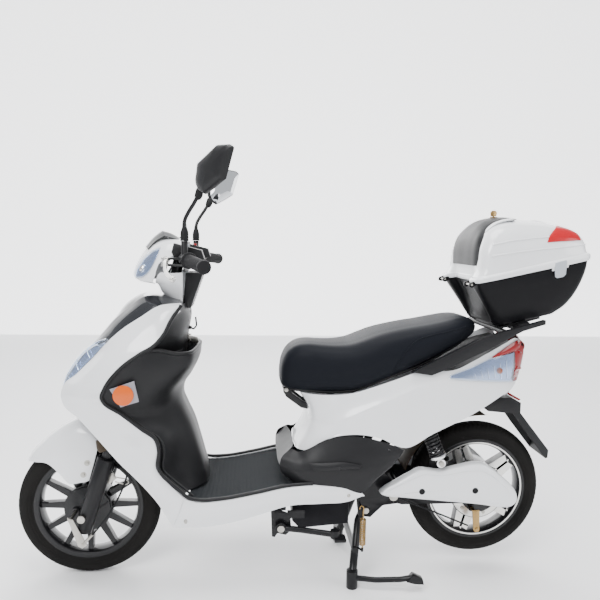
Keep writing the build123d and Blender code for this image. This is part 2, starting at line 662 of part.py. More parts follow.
# ---- wheels ----
def tyre(centre):
    """Treaded tyre, a C section open towards the rim."""
    def arc(r1, y1, r2, y2, r3, y3):
        points = [(centre[0] + r, y, centre[1]) for r, y in ((r1, y1), (r2, y2), (r3, y3))]
        return ThreePointArc(*points)

    def line(r1, y1, r2, y2):
        return Line((centre[0] + r1, y1, centre[1]), (centre[0] + r2, y2, centre[1]))

    t = TYRE_HALF
    r = WHEEL_R
    bead = RIM_R
    edges = [line(bead, 16, bead, 24), line(bead, 24, bead + 8, 24),
             arc(bead + 8, 24, r - 30, t, r - 12, t - 8),
             arc(r - 12, t - 8, r, 0, r - 12, 8 - t), arc(r - 12, 8 - t, r - 30, -t, bead + 8, -24),
             line(bead + 8, -24, bead, -24), line(bead, -24, bead, -16), line(bead, -16, bead + 9, -17),
             arc(bead + 9, -17, r - 30, 7 - t, r - 17, 12 - t),
             arc(r - 17, 12 - t, r - 8, 0, r - 17, t - 12),
             arc(r - 17, t - 12, r - 30, t - 7, bead + 9, 17), line(bead + 9, 17, bead, 16)]
    return spin(Wire(edges), centre)


def rim_ring(centre):
    """Drop-centre rim with its two flanges."""
    outer = [(RIM_R - 8, -RIM_HALF), (RIM_R + 8, -RIM_HALF - 1), (RIM_R + 8, -24), (RIM_R, -24),
             (RIM_R, -15), (RIM_R - 6, -10),
             (RIM_R - 6, 10), (RIM_R, 15), (RIM_R, 24), (RIM_R + 8, 24), (RIM_R + 8, RIM_HALF + 1),
             (RIM_R - 8, RIM_HALF),
             (RIM_R - 12, 9), (RIM_R - 12, -9)]
    return spin(ring_profile(outer, centre), centre)


def front_rim():
    """Cast wheel: hub drum, twelve spokes and rim."""
    wheel = rim_ring(FRONT_AXLE) + cross_rod(*FRONT_AXLE, 70, -32, 34)
    x, z = FRONT_AXLE
    spoke = side_prism([(x - 11, z + 62), (x - 7, z + 143), (x + 7, z + 143), (x + 11, z + 62)], -11, 11)
    for step in range(12):
        wheel += around(spoke, FRONT_AXLE, 30 * step)
    wheel -= cross_rod(*FRONT_AXLE, 58, -6, 40)
    wheel -= cross_rod(*FRONT_AXLE, 17.5, -40, -20)
    wheel -= cross_rod(*FRONT_AXLE, 12, -40, 10)
    boss = cross_pipe(*FRONT_AXLE, 24, 17.5, -6.5, 16)
    return wheel + boss


def front_wheel_bearings():
    right = cross_pipe(*FRONT_AXLE, 17.5, AXLE_R + RUNNING, -31, -20)
    left = cross_pipe(*FRONT_AXLE, 17.5, AXLE_R + RUNNING, 5, 16)
    return Compound(children=[right, left])


def front_brake_plate():
    """Fixed plate that closes the drum, with the cam boss and the two shoes."""
    plate = cross_rod(*FRONT_AXLE, 66, 35, 42)
    cam = cross_rod(639, 207, 12, 35, 56)
    shoes = cross_pipe(*FRONT_AXLE, 54, 46, 18,
                       35) & side_prism([(540, 250), (540, 170), (680, 170), (680, 250)], 17, 36)
    spacer = cross_rod(*FRONT_AXLE, 12, 42, 55)
    body = plate + cam + shoes.solids()[0] + shoes.solids()[1] + spacer
    return body - cross_rod(*FRONT_AXLE, AXLE_R, -120, 120) - cross_rod(639, 207, 5, 30, 70)


def front_axle():
    bolt = cross_rod(*FRONT_AXLE, AXLE_R, -112, 112)
    nuts = [cross_rod(*FRONT_AXLE, 11, low, high) for low, high in ((-113, -105.2), (105.2, 113))]
    spacer = cross_pipe(*FRONT_AXLE, 9, AXLE_R, -55, -32.4)
    return bolt + nuts[0] + nuts[1] + spacer


def front_brake_arm():
    """Cam shaft and lever arm that the cable pulls."""
    shaft = cross_rod(639, 207, 5 - RUNNING, 36, 112)
    arm = side_prism([(646, 215), (630, 210), (593, 133), (605, 124), (617, 130)], 106.5, 111)
    clevis = cross_rod(606, 134, 6, 104, 113)
    return shaft + arm + clevis


def rear_rim():
    """Cast rear wheel: rim, five paired spokes and the shell of the hub motor."""
    wheel = rim_ring(REAR_AXLE) + cross_rod(*REAR_AXLE, 86, -46, 46)
    x, z = REAR_AXLE
    spoke = side_prism([(x - 30, z + 78), (x - 22, z + 143), (x + 22, z + 143), (x + 30, z + 78)], -16, 16)
    slot = side_prism([(x - 4, z + 92), (x - 4, z + 134), (x + 4, z + 134), (x + 4, z + 92)], -20, 20)
    for step in range(5):
        wheel += around(spoke - slot, REAR_AXLE, 72 * step + 20)
    wheel -= cross_rod(*REAR_AXLE, 80, -40, 40)
    return wheel - cross_rod(*REAR_AXLE, 22, -50, 50)


def motor_bearings():
    left = cross_pipe(*REAR_AXLE, 22, 9 + RUNNING, 40, 46)
    right = cross_pipe(*REAR_AXLE, 22, 9 + RUNNING, -46, -40)
    return Compound(children=[left, right])


def hub_motor_stator():
    """Wound stator on the fixed axle, inside the hub shell."""
    core = cross_rod(*REAR_AXLE, 76, -24, 24)
    x, z = REAR_AXLE
    slot = side_prism([(x - 3, z + 56), (x - 3, z + 80), (x + 3, z + 80), (x + 3, z + 56)], -26, 26)
    for step in range(18):
        core -= around(slot, REAR_AXLE, 20 * step)
    return core - cross_rod(*REAR_AXLE, 9, -30, 30)


def rear_axle():
    shaft = cross_rod(*REAR_AXLE, 9, -98, 98)
    nut_left = cross_rod(*REAR_AXLE, 15, 84.2, 94)
    nut_right = cross_rod(*REAR_AXLE, 15, -94, -84.2)
    return shaft + nut_left + nut_right


def rear_brake_plate():
    """Fixed drum plate beside the hub motor, with the cam boss."""
    plate = cross_rod(*REAR_AXLE, 60, 48, 60)
    boss = cross_rod(-555, 200, 11, 55, 66)
    spacer = cross_rod(*REAR_AXLE, 16, 58, 72)
    return plate + boss + spacer - cross_rod(*REAR_AXLE, 9, 40, 80) - cross_rod(-555, 200, 5, 40, 80)


def rear_brake_arm():
    shaft = cross_rod(-555, 200, 5 - RUNNING, 52, 102)
    arm = side_prism([(-566, 208), (-544, 208), (-550, 146), (-556, 138), (-568, 146)], 96, 101)
    clevis = cross_rod(-560, 148, 6, 92, 106)
    return shaft + arm + clevis


# ---- rear suspension ----
def swingarm():
    """Two arms joined by the pivot tube and a brace."""
    outline = [(-282, 236), (-282, 276), (-330, 288), (-600, 266), (-614, 245), (-600, 224), (-330, 224)]
    arm = side_prism(outline, 72, 84)
    x, z = SHOCK_EYE
    lug = side_prism([(x - 14, 270), (x + 30, 270), (x + 14, z + 8), (x, z + 14), (x - 14, z + 8)], 77, 84)
    half = arm + lug
    pivot = cross_rod(*SWING_PIVOT, 17, -84, 84)
    brace = cross_rod(-338, 256, 9, -76, 76)
    body = half + mirror(half, Plane.XZ) + pivot + brace
    body -= cross_rod(*SWING_PIVOT, 8 + RUNNING, -90, 90)
    body -= cross_rod(*REAR_AXLE, 9, -90, 90)
    return body - shock_bolt_bore(SHOCK_EYE)


def shock_bolt_bore(at):
    return cross_rod(*at, 5, -140, -60) + cross_rod(*at, 5, 60, 140)


def swingarm_bolt():
    bolt = cross_rod(*SWING_PIVOT, 8, -104, 104)
    return bolt + cross_rod(*SWING_PIVOT, 13, 92.1, 101) + cross_rod(*SWING_PIVOT, 13, -101, -92.1)


def motor_cover_left():
    """White cover over the swingarm, a tray open inwards."""
    body = side_prism(MOTOR_COVER, 108, 132) - side_prism(inset(MOTOR_COVER, SKIN), 100, 129)
    for x, z in COVER_BOSSES:
        body += cross_rod(x, z, 9, 96, 129.5)
        body -= cross_rod(x, z, 5, 90, 140)
    return body


COVER_BOSSES = ((-376, 282), (-537, 282))


def cover_brackets():
    """Tabs on the swingarm that the covers are screwed to."""
    tabs = []
    for x, z in COVER_BOSSES:
        tabs.append(side_prism([(x - 9, z - 26), (x + 9, z - 26), (x + 9, z + 8), (x - 9, z + 8)], 84, 88))
        tabs.append(cross_pipe(x, z, 8, 5, 88, 96))
    left = [tabs[0] + tabs[1] - cross_rod(*COVER_BOSSES[0], 5, 80, 100),
            tabs[2] + tabs[3] - cross_rod(*COVER_BOSSES[1], 5, 80, 100)]
    return Compound(children=left + [mirror(t, Plane.XZ) for t in left])


def cover_plugs():
    plugs = []
    for x, z in COVER_BOSSES:
        plug = cross_rod(x, z, 5, 86, 132) + cross_rod(x, z, 8, 132, 135)
        plugs += [plug, mirror(plug, Plane.XZ)]
    return Compound(children=plugs)


def shock_line(part, y=None):
    """Point on the left shock, part of the way from its top eye to its lower eye."""
    x = SHOCK_TOP[0] + (SHOCK_EYE[0] - SHOCK_TOP[0]) * part
    z = SHOCK_TOP[1] + (SHOCK_EYE[1] - SHOCK_TOP[1]) * part
    return (x, SHOCK_Y if y is None else y, z)


def shock_body():
    """Upper half: eye, spring cup and damper tube."""
    eye = cross_rod(*SHOCK_TOP, 13, SHOCK_Y - 13, SHOCK_Y + 13)
    cup = rod(shock_line(0.09), shock_line(0.17), 24)
    tube = rod(shock_line(0.06), shock_line(0.62), 12)
    body = eye + cup + tube - rod(shock_line(0.3), shock_line(0.7), 8.5)
    return body - cross_rod(*SHOCK_TOP, 5 + RUNNING, 100, 140)


def shock_rod():
    """Lower half: eye, spring seat and damper rod."""
    eye = cross_rod(*SHOCK_EYE, 13, SHOCK_Y - 13, SHOCK_Y + 13)
    seat = rod(shock_line(0.81), shock_line(0.87), 24)
    stem = rod(shock_line(0.45), shock_line(0.94), 7.2)
    return eye + seat + stem - cross_rod(*SHOCK_EYE, 5 + RUNNING, 100, 140)


def shock_spring():
    """The spring's outer shape as a closed sleeve between its two seats."""
    return pipe(shock_line(0.172), shock_line(0.808), 21, 15)


def shock_bolts(at):
    bolt = cross_rod(*at, 5, 80, 137) + cross_rod(*at, 8, 134.2, 141) + cross_pipe(*at, 8, 5, 92.2, 107.8)
    return both_sides(bolt)


def lower_shock_bolts():
    at = SHOCK_EYE
    bolt = cross_rod(*at, 5, 77, 137) + cross_rod(*at, 8, 134.2, 141) + cross_pipe(*at, 8, 5, 84, 107.8)
    return both_sides(bolt)


# ---- fork and steering ----
def steerer_crown():
    stem = rod(at_fork(0, 0, -392), at_fork(0, 0, 128), STEERER_R - RUNNING)
    clamp = rod(at_fork(0, 0, 92), at_fork(0, 0, 128), 17)
    low = [at_fork(n, y, -412) for n, y in ((-22, -40), (-22, 40), (-8, 104), (38, 104), (30, 0),
                                            (38, -104), (-8, -104))]
    up = Vector(*at_fork(0, 0, 22)) - Vector(*at_fork(0, 0, 0))
    crown = extrude(make_face(Polyline(*low, close=True)), up.length, dir=tuple(up.normalized()))
    body = stem + clamp + crown
    for side in (-1, 1):
        body -= rod(at_fork(FORK_OFFSET, side * FORK_SPREAD, -440),
                    at_fork(FORK_OFFSET, side * FORK_SPREAD, -380), STANCHION_R)
    return body - handlebar_solid()


def stanchions():
    tube = pipe(at_fork(FORK_OFFSET, FORK_SPREAD, -588), at_fork(FORK_OFFSET, FORK_SPREAD, -390),
                STANCHION_R, 12)
    return both_sides(tube)


def fork_sliders():
    """Lower fork legs, bored for the stanchions and the axle, with fender lugs."""
    leg = rod(at_fork(FORK_OFFSET, FORK_SPREAD, -704), at_fork(FORK_OFFSET, FORK_SPREAD, -478), SLIDER_R)
    leg -= rod(at_fork(FORK_OFFSET, FORK_SPREAD, -640), at_fork(FORK_OFFSET, FORK_SPREAD, -470),
               STANCHION_R + RUNNING)
    lug = side_prism([(566, 378), (578, 380), (612, 366), (622, 322), (612, 308), (570, 320)], 58, 62)
    leg += lug - rod(at_fork(FORK_OFFSET, FORK_SPREAD, -640), at_fork(FORK_OFFSET, FORK_SPREAD, -470), 18)
    leg -= cross_rod(*FRONT_AXLE, AXLE_R, 40, 120)
    leg -= cross_rod(639, 207, 14, 34, 120)
    for x, z in FENDER_BOLTS:
        leg -= cross_rod(x, z, 3, 50, 80)
    return both_sides(leg)


FENDER_BOLTS = ((599, 361), (609, 326))


def front_fender():
    section = [(65, 280), (65, 425), (52, 462), (20, 482)]
    outer = side_prism(FENDER, -70, 70) & front_prism(front_mirror(section), 550, 790)
    thin = [(y - SKIN, z - SKIN) for y, z in section]
    thin[0] = (thin[0][0], 270)
    roof = [(757, 388), (713, 439), (665, 464), (624, 474), (560, 424), (560, 290), (780, 290), (780, 360)]
    inner = side_prism(roof, -70, 70) & front_prism(front_mirror(thin), 550, 790)
    body = outer - inner
    for x, z in FENDER_BOLTS:
        body -= cross_rod(x, z, 3, -80, 80)
    return body


def fender_bolts():
    bolts = []
    for x, z in FENDER_BOLTS:
        bolt = cross_rod(x, z, 3, 58, 65) + cross_rod(x, z, 5.5, 65, 69)
        bolts += [bolt, mirror(bolt, Plane.XZ)]
    return Compound(children=bolts)


def cable_guide():
    """Bracket behind the left fork leg with its wire loop."""
    plate = side_prism([(543, 322), (524, 334), (514, 316), (534, 300), (549, 300)], 72, 75)
    plate -= rod(at_fork(FORK_OFFSET, FORK_SPREAD, -704), at_fork(FORK_OFFSET, FORK_SPREAD, -478), SLIDER_R)
    loop = bent_rod([(523, 73.5, 320), (488, 73.5, 313), (478, 73.5, 302), (490, 73.5, 296),
                     (520, 73.5, 306)], 1.8, [8, 5, 8])
    return plate + loop


def rear_brake_cable():
    """Cable along the left arm of the swingarm to the rear brake."""
    route = [(-318, 97, 250), (-360, 98, 232), (-430, 99, 204), (-532, 98.5, 160)]
    return bent_rod(route, 2.5, [60, 60])


def front_brake_cable():
    """Cable from the right lever, down inside the hull and out to the front brake arm."""
    route = [(330, -120, 948), (368, -60, 930), (392, -20, 880), (425, 40, 770), (455, 62, 640),
             (470, 72, 500),
             (474, 76, 400), (492, 80, 300), (520, 102, 240), (556, 117, 190), (596, 118, 146)]
    return bent_rod(route, 2.5, [30, 30, 60, 60, 60, 60, 60, 40, 60])


def handlebar_solid():
    points = [along_bar(251.4), BAR_BEND, (BAR_BEND[0], -BAR_BEND[1], BAR_BEND[2]), along_bar(251.4, -1)]
    return bent_rod(points, BAR_R, [60, 60])


def handlebar():
    return handlebar_solid()


def grip(side, bore, start):
    """Ribbed rubber grip with an inner flange, bored for the bar."""
    a, b = along_bar(start, side), along_bar(249, side)
    body = rod(a, b, 15) + rod(a, along_bar(start + 5, side), 21)
    for step in range(8):
        distance = start + 22 + 12 * step
        body += rod(along_bar(distance, side), along_bar(distance + 5, side), 16)
    body += rod(along_bar(250, side), along_bar(256, side), 16.5) + rod(b, along_bar(251, side), 15)
    return body - rod(along_bar(100, side), along_bar(252, side), bore)


def perch(side):
    """Clamp that carries the brake lever and the mirror."""
    block = rod(along_bar(76, side), along_bar(112, side), 17)
    x, y, z = along_bar(88, side)
    arm = plan_prism([(x - 6, y - 14 * side), (x + 6, y + 20 * side), (352, 176 * side), (370, 172 * side),
                      (370, 156 * side), (350, 152 * side)], 938.5, 944.5)
    arm += plan_prism([(x - 6, y - 14 * side), (x + 6, y + 20 * side), (352, 176 * side), (370, 172 * side),
                       (370, 156 * side), (350, 152 * side)], 956, 962)
    boss = rod((308, 174 * side, 950), (308, 174 * side, 1006), 9)
    body = block + arm + boss
    body -= rod(along_bar(60, side), along_bar(130, side), BAR_R)
    body -= rod((360, 164 * side, 930), (360, 164 * side, 970), 3.5)
    body -= rod((308, 174 * side, 990), (308, 174 * side, 1010), 5)
    return body


def lever_pin(side):
    return rod((360, 164 * side, 936), (360, 164 * side, 964), 3.5)


def brake_lever(side):
    """Blade between the perch's two ears, with a ball end."""
    hub = rod((360, 164 * side, 944.9), (360, 164 * side, 955.7), 9)
    blade = bent_rod([(360, 164 * side, 951), (356, 206 * side, 949), (346, 258 * side, 930),
                      (322, 318 * side, 914)], 4.5,
                     [50, 60])
    ball = Pos(322, 318 * side, 914) * Sphere(8)
    return hub + blade + ball - rod((360, 164 * side, 930), (360, 164 * side, 970), 3.5 + RUNNING)


def switch_housing(side):
    """Clamped switch box inboard of the perch."""
    outline = [(340, 1000), (266, 982), (258, 958), (280, 950), (336, 953), (346, 975)]
    body = side_prism(outline, *sorted((108 * side, 146 * side)))
    body -= rod(along_bar(-20, side), along_bar(75, side), BAR_R)
    body -= rod(along_bar(70, side), along_bar(120, side), 17.5)
    start = Vector(309, 120 * side, 981)
    return body - rod(tuple(start), tuple(start + BUTTON_DIR * 40), 6)


BUTTON_DIR = Vector(-18, 0, 74).normalized()


def push_button(side):
    start = Vector(309, 120 * side, 981) + BUTTON_DIR * 4
    return rod(tuple(start), tuple(start + BUTTON_DIR * 13), 5.6)


def mirror_stem(side):
    """Threaded foot, rubber boot and bent stem."""
    foot = rod((308, 174 * side, 990), (308, 174 * side, 1012), 5 - RUNNING)
    boot = rod((308, 174 * side, 1006.4), (308, 174 * side, 1022), 8)
    stem = bent_rod([(308, 174 * side, 1012), (309, 178 * side, 1040), (303, 184 * side, 1066),
                     (283, 192 * side, 1103),
                     (270, 198 * side, 1124)], 5, [40, 40, 60])
    return foot + boot + stem + Pos(268, 200 * side, 1128) * Sphere(8)


MIRROR_FACE = Vector(0.7071, 0.7071, 0)


def mirror_outline(inset_by, depth, thickness, side):
    """Flat mirror-shaped slab; its outline is (across, up) from the stem's ball joint."""
    outline = [(11, 76), (79, 125), (120, 124), (129, 113), (116, 55), (100, 29), (47, 9), (16, 2),
               (1, 15), (0, 37)]
    across = Vector(-0.7071, 0.7071, 0)
    corner = Vector(268, 200, 1128) + MIRROR_FACE * depth
    points = [tuple(corner + across * a + Vector(0, 0, 1) * b) for a, b in inset(outline, inset_by)]
    slab = extrude(make_face(Polyline(*points, close=True)), thickness, dir=tuple(MIRROR_FACE))
    return slab if side > 0 else mirror(slab, Plane.XZ)


def mirror_head(side):
    """Mirror housing with a recess for the glass and a socket for the ball."""
    shell = mirror_outline(0, 9.5, 16, side) - mirror_outline(4, 9, 3.5, side)
    x, y, z = 268, 200 * side, 1128
    neck = rod((x - 4, y + 4 * side, z + 4), (x + 4, y + 24 * side, z + 24), 9)
    return shell + neck - Pos(x, y, z) * Sphere(8.4) - rod((x + 20, y - 5 * side, z - 40), (x, y, z), 6.5)


def mirror_glass(side):
    return mirror_outline(4.2, 9.8, 2.6, side)


def cowl_envelope(wall):
    plan = plan_mirror([(474, 0), (470, 36), (440, 78), (388, 116), (350, 110), (317, 88), (317, 0)])
    half = [(0, 1016), (62, 1008), (104, 968), (118, 935), (108, 915), (66, 868), (56, 820), (0, 820)]
    outline = half + [(-y, z) for y, z in reversed(half) if y > 0]
    body = side_prism(inset(COWL, wall), -130, 130) & plan_prism(inset(plan, wall), 800, 1030)
    return body & front_prism(inset(outline, wall), 300, 490)


def cowl_parts():
    """White handlebar cowl and the clear headlight lens in it."""
    skin = cowl_envelope(0) - cowl_envelope(SKIN)
    rear_opening = side_prism([(300, 1004), (321.5, 1004), (321.5, 830), (300, 830)], -84, 84)
    bottom_opening = rod(at_fork(0, 0, -20), at_fork(0, 0, 60), 40)
    bar_gap = side_prism([(300, 988), (356, 983), (390, 945), (390, 924), (380, 914), (300, 912)], 60, 140)
    light = side_prism(HEADLIGHT, -130, 130)
    skin = skin - rear_opening - bottom_opening - bar_gap - mirror(bar_gap, Plane.XZ)
    lens = skin & light
    cowl = skin - light
    return {"handlebar_cowl": cowl.solids().sort_by(SortBy.VOLUME)[-1], "headlight_lens": lens}


def headlight_reflector():
    """Bowl behind the lens with its bulb."""
    bowl = side_prism([(456, 916), (430, 955), (392, 970), (420, 908)], -50, 50)
    cup = side_prism([(460, 919), (432, 960), (395, 974), (424, 914)], -46, 46)
    bulb = rod((408, 0, 930), (428, 0, 940), 8)
    return bowl - cup + bulb


def dash_panel():
    """Black instrument panel that closes the cowl towards the rider."""
    body = side_prism([(318, 1003), (318, 918), (321.4, 918), (321.4, 1003)], -83, 83)
    window = side_prism([(310, 994), (310, 962), (330, 962), (330, 994)], -45, 45)
    return body - window


def instrument_display():
    return side_prism([(318.5, 994), (318.5, 962), (321, 962), (321, 994)], -45, 45)


def steering_cover():
    """Black rear half of the steering column cover."""
    outline = COLUMN
    body = side_prism(outline, -52, 52) - side_prism([(330, 920), (330, 830), (316, 820), (306, 818),
                                                      (274, 912), (300, 912)],
                                                   -49, 49)
    bar = rod(at_fork(0, 0, -10), at_fork(0, 0, 120), 20)
    return body - bar


def windscreen():
    """Small smoked screen on top of the cowl."""
    outer = [(430, 993.5), (386, 1034), (342, 1012), (345, 1010.5), (386, 1030), (426, 994)]
    return side_prism(outer, -48, 48) - cowl_envelope(0)


# ---- stands ----
def centre_stand():
    """Two legs, the pivot tube, a cross bar and the foot lever."""
    x, z = STAND_PIVOT
    pivot = cross_rod(x, z, 11, -84, 84)
    body = pivot
    for side in (-1, 1):
        leg = bent_rod([(x, 66 * side, z), (-200, 68 * side, 168), (-185, 106 * side, 90),
                        (-173, 140 * side, 24)], 12,
                       [30, 60])
        foot = rod((-173, 140 * side, 0), (-173, 140 * side, 52), 17)
        body = body + leg + foot
    body += rod((-184, -118, 100), (-184, 118, 100), 9)
    lever = bent_rod([(-176, 146, 32), (-240, 158, 30), (-310, 166, 34), (-345, 171, 42)], 8, [60, 60])
    pad = side_prism([(-326, 34), (-346, 54), (-374, 40), (-377, 25), (-350, 27)], 160, 182)
    hook = bent_rod([(-188, 102, 106), (-203, 124, 104), (-203, 132, 104), (-203, 132, 117)], 3, [3, 4])
    body = body + lever + pad + hook
    return body - cross_rod(x, z, 5 + RUNNING, -100, 100)


def stand_spring():
    """The return spring's outer shape with its two hooks."""
    coil = pipe((-203, 132, 204), (-203, 132, 126), 9, 5.5)
    top = bent_rod([(-203, 132, 202), (-203, 132, 240), (-196, 132, 244.5), (-191, 132, 234)], 1.8, [4, 2])
    low = rod((-203, 132, 128), (-203, 132, 119), 1.8)
    return Compound(children=[coil, top, low])


def spring_post():
    """Frame post that the stand spring hangs from."""
    return rod((-198, 90, 238), (-198, 137, 238), 2.2)


def stand_bolt():
    x, z = STAND_PIVOT
    return cross_rod(x, z, 5, -98, 98) + cross_rod(x, z, 9, 92.1, 98) + cross_rod(x, z, 9, -98, -92.1)


def side_stand_bracket():
    """Plate clamped under the left floor rail."""
    plate = side_prism([(68, 243), (56, 243), (12, 226), (8, 178), (24, 164), (48, 170), (56, 158),
                        (64, 160)], 132, 138)
    shelf = side_prism([(60, 254), (24, 254), (24, 236), (60, 236)], 72, 133)
    clamp = side_prism([(20, 236), (-30, 236), (-30, 212), (20, 212)], 132, 136)
    return plate + shelf + clamp


def side_stand():
    """Retracted side stand, pointing backwards."""
    x, z = SIDE_STAND_PIVOT
    eye = cross_rod(x, z, 15, 138.4, 150)
    leg = bent_rod([(x - 14, 147.5, z - 1), (x - 60, 150, z - 6), (x - 160, 160, z - 18)], 8.5, [80])
    foot = plan_prism([(-112, 150), (-146, 150), (-146, 184), (-112, 184)], 160, 168)
    foot += rod((x - 155, 160, z - 26), (x - 155, 160, z - 4), 13)
    return eye + leg + foot - cross_rod(x, z, 6 + RUNNING, 130, 160)


def side_stand_bolt():
    x, z = SIDE_STAND_PIVOT
    return cross_rod(x, z, 6, 130, 153) + cross_rod(x, z, 10, 150.4, 156) + cross_rod(x, z, 10, 126, 131.9)


def body_screws():
    """Visible screws of the side panels."""
    screws = []
    for x, z in ((306, 228), (-149, 300)):
        head = cross_rod(x, z, 4.5, 176, 178)
        screws += [head, mirror(head, Plane.XZ)]
    return Compound(children=screws)


# ---- write every node ----
def group(*shapes):
    """One node made of several separate solids."""
    return Compound(children=[solid for shape in shapes for solid in shape.solids()])


def pair(left):
    """One node made of a left part and its mirror image."""
    return group(left, mirror(left, Plane.XZ))


def chassis_parts():
    parts = front_body()
    parts["leg_shield"] = group(leg_shield(), glove_pocket(), shield_neck(), splash_guard(), hook_bracket())
    parts["side_reflectors"] = group(side_reflectors(), reflector_plates())
    parts["floorboard"] = floorboard()
    parts["floor_mat"] = floor_mat()
    parts["sills"] = pair(sill_left())
    parts.update(rear_body())
    parts["luggage_carrier"] = luggage_carrier()
    parts["rear_mudguard"] = group(rear_mudguard(), inner_fender(), rear_reflector())
    parts["main_frame"] = main_frame()
    parts["battery"] = group(battery_box(), battery_pack())
    parts["motor_controller"] = motor_controller()
    parts["box_base"] = box_base()
    parts["chassis_hardware"] = group(ignition_lock(), head_bearings(), seat_hinge_pin(),
                                      lid_hinge_pins(), swingarm_bolt(), stand_bolt(),
                                      side_stand_bolt(), shock_bolts(SHOCK_TOP), body_screws())
    return parts


def moving_chassis_parts():
    return {"ignition_key": ignition_key(), "bag_hook": bag_hook(), "seat_cushion": seat_cushion(),
            "seat_base": seat_base(), "box_lid": group(box_lid(), box_reflectors(), box_lock(), lid_pad()),
            "box_key": box_key(), "latch_left": latch(1), "latch_right": latch(-1),
            "centre_stand": centre_stand(),
            "stand_spring": stand_spring(), "side_stand": side_stand()}


def rear_suspension_parts():
    return {"swingarm": group(swingarm(), cover_brackets()),
            "motor_covers": group(pair(motor_cover_left()), cover_plugs()),
            "rear_axle": group(rear_axle(), hub_motor_stator(), rear_brake_plate(), lower_shock_bolts()),
            "rear_brake_arm": rear_brake_arm(), "rear_brake_cable": rear_brake_cable(),
            "rear_tyre": tyre(REAR_AXLE), "rear_rim": group(rear_rim(), motor_bearings()),
            "shock_bodies": pair(shock_body()), "shock_rods": pair(shock_rod()),
            "shock_springs": pair(shock_spring())}


def handlebar_parts():
    parts = cowl_parts()
    parts["handlebar_cowl"] = group(parts["handlebar_cowl"], windscreen())
    parts["headlight"] = group(parts.pop("headlight_lens"), headlight_reflector())
    parts["fork_crown"] = group(steerer_crown(), stanchions())
    parts["handlebar"] = handlebar()
    parts["bar_controls"] = group(perch(1), perch(-1), lever_pin(1), lever_pin(-1), switch_housing(1),
                                  switch_housing(-1))
    parts["steering_cover"] = group(steering_cover(), dash_panel(), instrument_display())
    parts["front_brake_cable"] = front_brake_cable()
    parts["grip_left"] = grip(1, BAR_R, 118)
    parts["throttle_grip"] = grip(-1, BAR_R + RUNNING, 118)
    for name, side in (("left", 1), ("right", -1)):
        parts[f"brake_lever_{name}"] = brake_lever(side)
        parts[f"mirror_{name}"] = group(mirror_stem(side), mirror_head(side), mirror_glass(side))
    parts["horn_button"] = push_button(1)
    parts["light_switch"] = push_button(-1)
    return parts


def front_wheel_parts():
    return {"fork_sliders": fork_sliders(), "front_fender": front_fender(),
            "front_axle": group(front_axle(), front_brake_plate(), cable_guide(), fender_bolts()),
            "front_brake_arm": front_brake_arm(), "front_tyre": tyre(FRONT_AXLE),
            "front_rim": group(front_rim(), front_wheel_bearings())}


def all_parts():
    parts = chassis_parts()
    parts.update(moving_chassis_parts())
    parts.update(rear_suspension_parts())
    parts.update(handlebar_parts())
    parts.update(front_wheel_parts())
    return parts


if __name__ == "__main__":
    os.makedirs("parts", exist_ok=True)
    for name, shape in all_parts().items():
        export_step(shape, f"parts/{name}.step")
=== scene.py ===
import bpy
import numpy as np
from math import cos, pi, radians, sin, tau
from mathutils import Matrix, Vector
from mathutils.bvhtree import BVHTree


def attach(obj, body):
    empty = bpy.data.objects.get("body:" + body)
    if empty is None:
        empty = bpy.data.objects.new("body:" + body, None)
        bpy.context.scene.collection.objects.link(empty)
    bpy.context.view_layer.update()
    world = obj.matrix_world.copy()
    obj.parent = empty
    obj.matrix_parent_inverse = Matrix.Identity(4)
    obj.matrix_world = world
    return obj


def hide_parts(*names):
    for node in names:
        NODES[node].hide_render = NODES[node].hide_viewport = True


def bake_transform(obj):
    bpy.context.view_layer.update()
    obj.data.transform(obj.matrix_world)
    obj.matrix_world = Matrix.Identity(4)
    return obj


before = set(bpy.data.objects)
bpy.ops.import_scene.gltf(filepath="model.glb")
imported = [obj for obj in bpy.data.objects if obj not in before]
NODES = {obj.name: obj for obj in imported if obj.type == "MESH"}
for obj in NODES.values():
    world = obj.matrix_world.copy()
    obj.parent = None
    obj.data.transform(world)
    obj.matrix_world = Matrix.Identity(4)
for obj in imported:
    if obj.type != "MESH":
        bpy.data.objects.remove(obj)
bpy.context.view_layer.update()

MM = 0.001

# ---- places shared with the frame, in millimetres ----
FRONT_AXLE = (607.6, 210.0)
REAR_AXLE = (-577.6, 245.0)
BAR_BEND = (337, 92, 965.0)
BAR_END = (245, 325, 944.0)
SHOCK_TOP = (-380, 121, 497.0)
SHOCK_EYE = (-430, 121, 369.0)
LID_HINGE = (-493.4, 896)


# ---- materials ----
def texture_noise(nodes, links, place, scale, detail):
    """Noise node fed with the object's own coordinates."""
    noise = nodes.new("ShaderNodeTexNoise")
    noise.inputs["Scale"].default_value = scale
    noise.inputs["Detail"].default_value = detail
    links.new(place.outputs["Object"], noise.inputs["Vector"])
    return noise


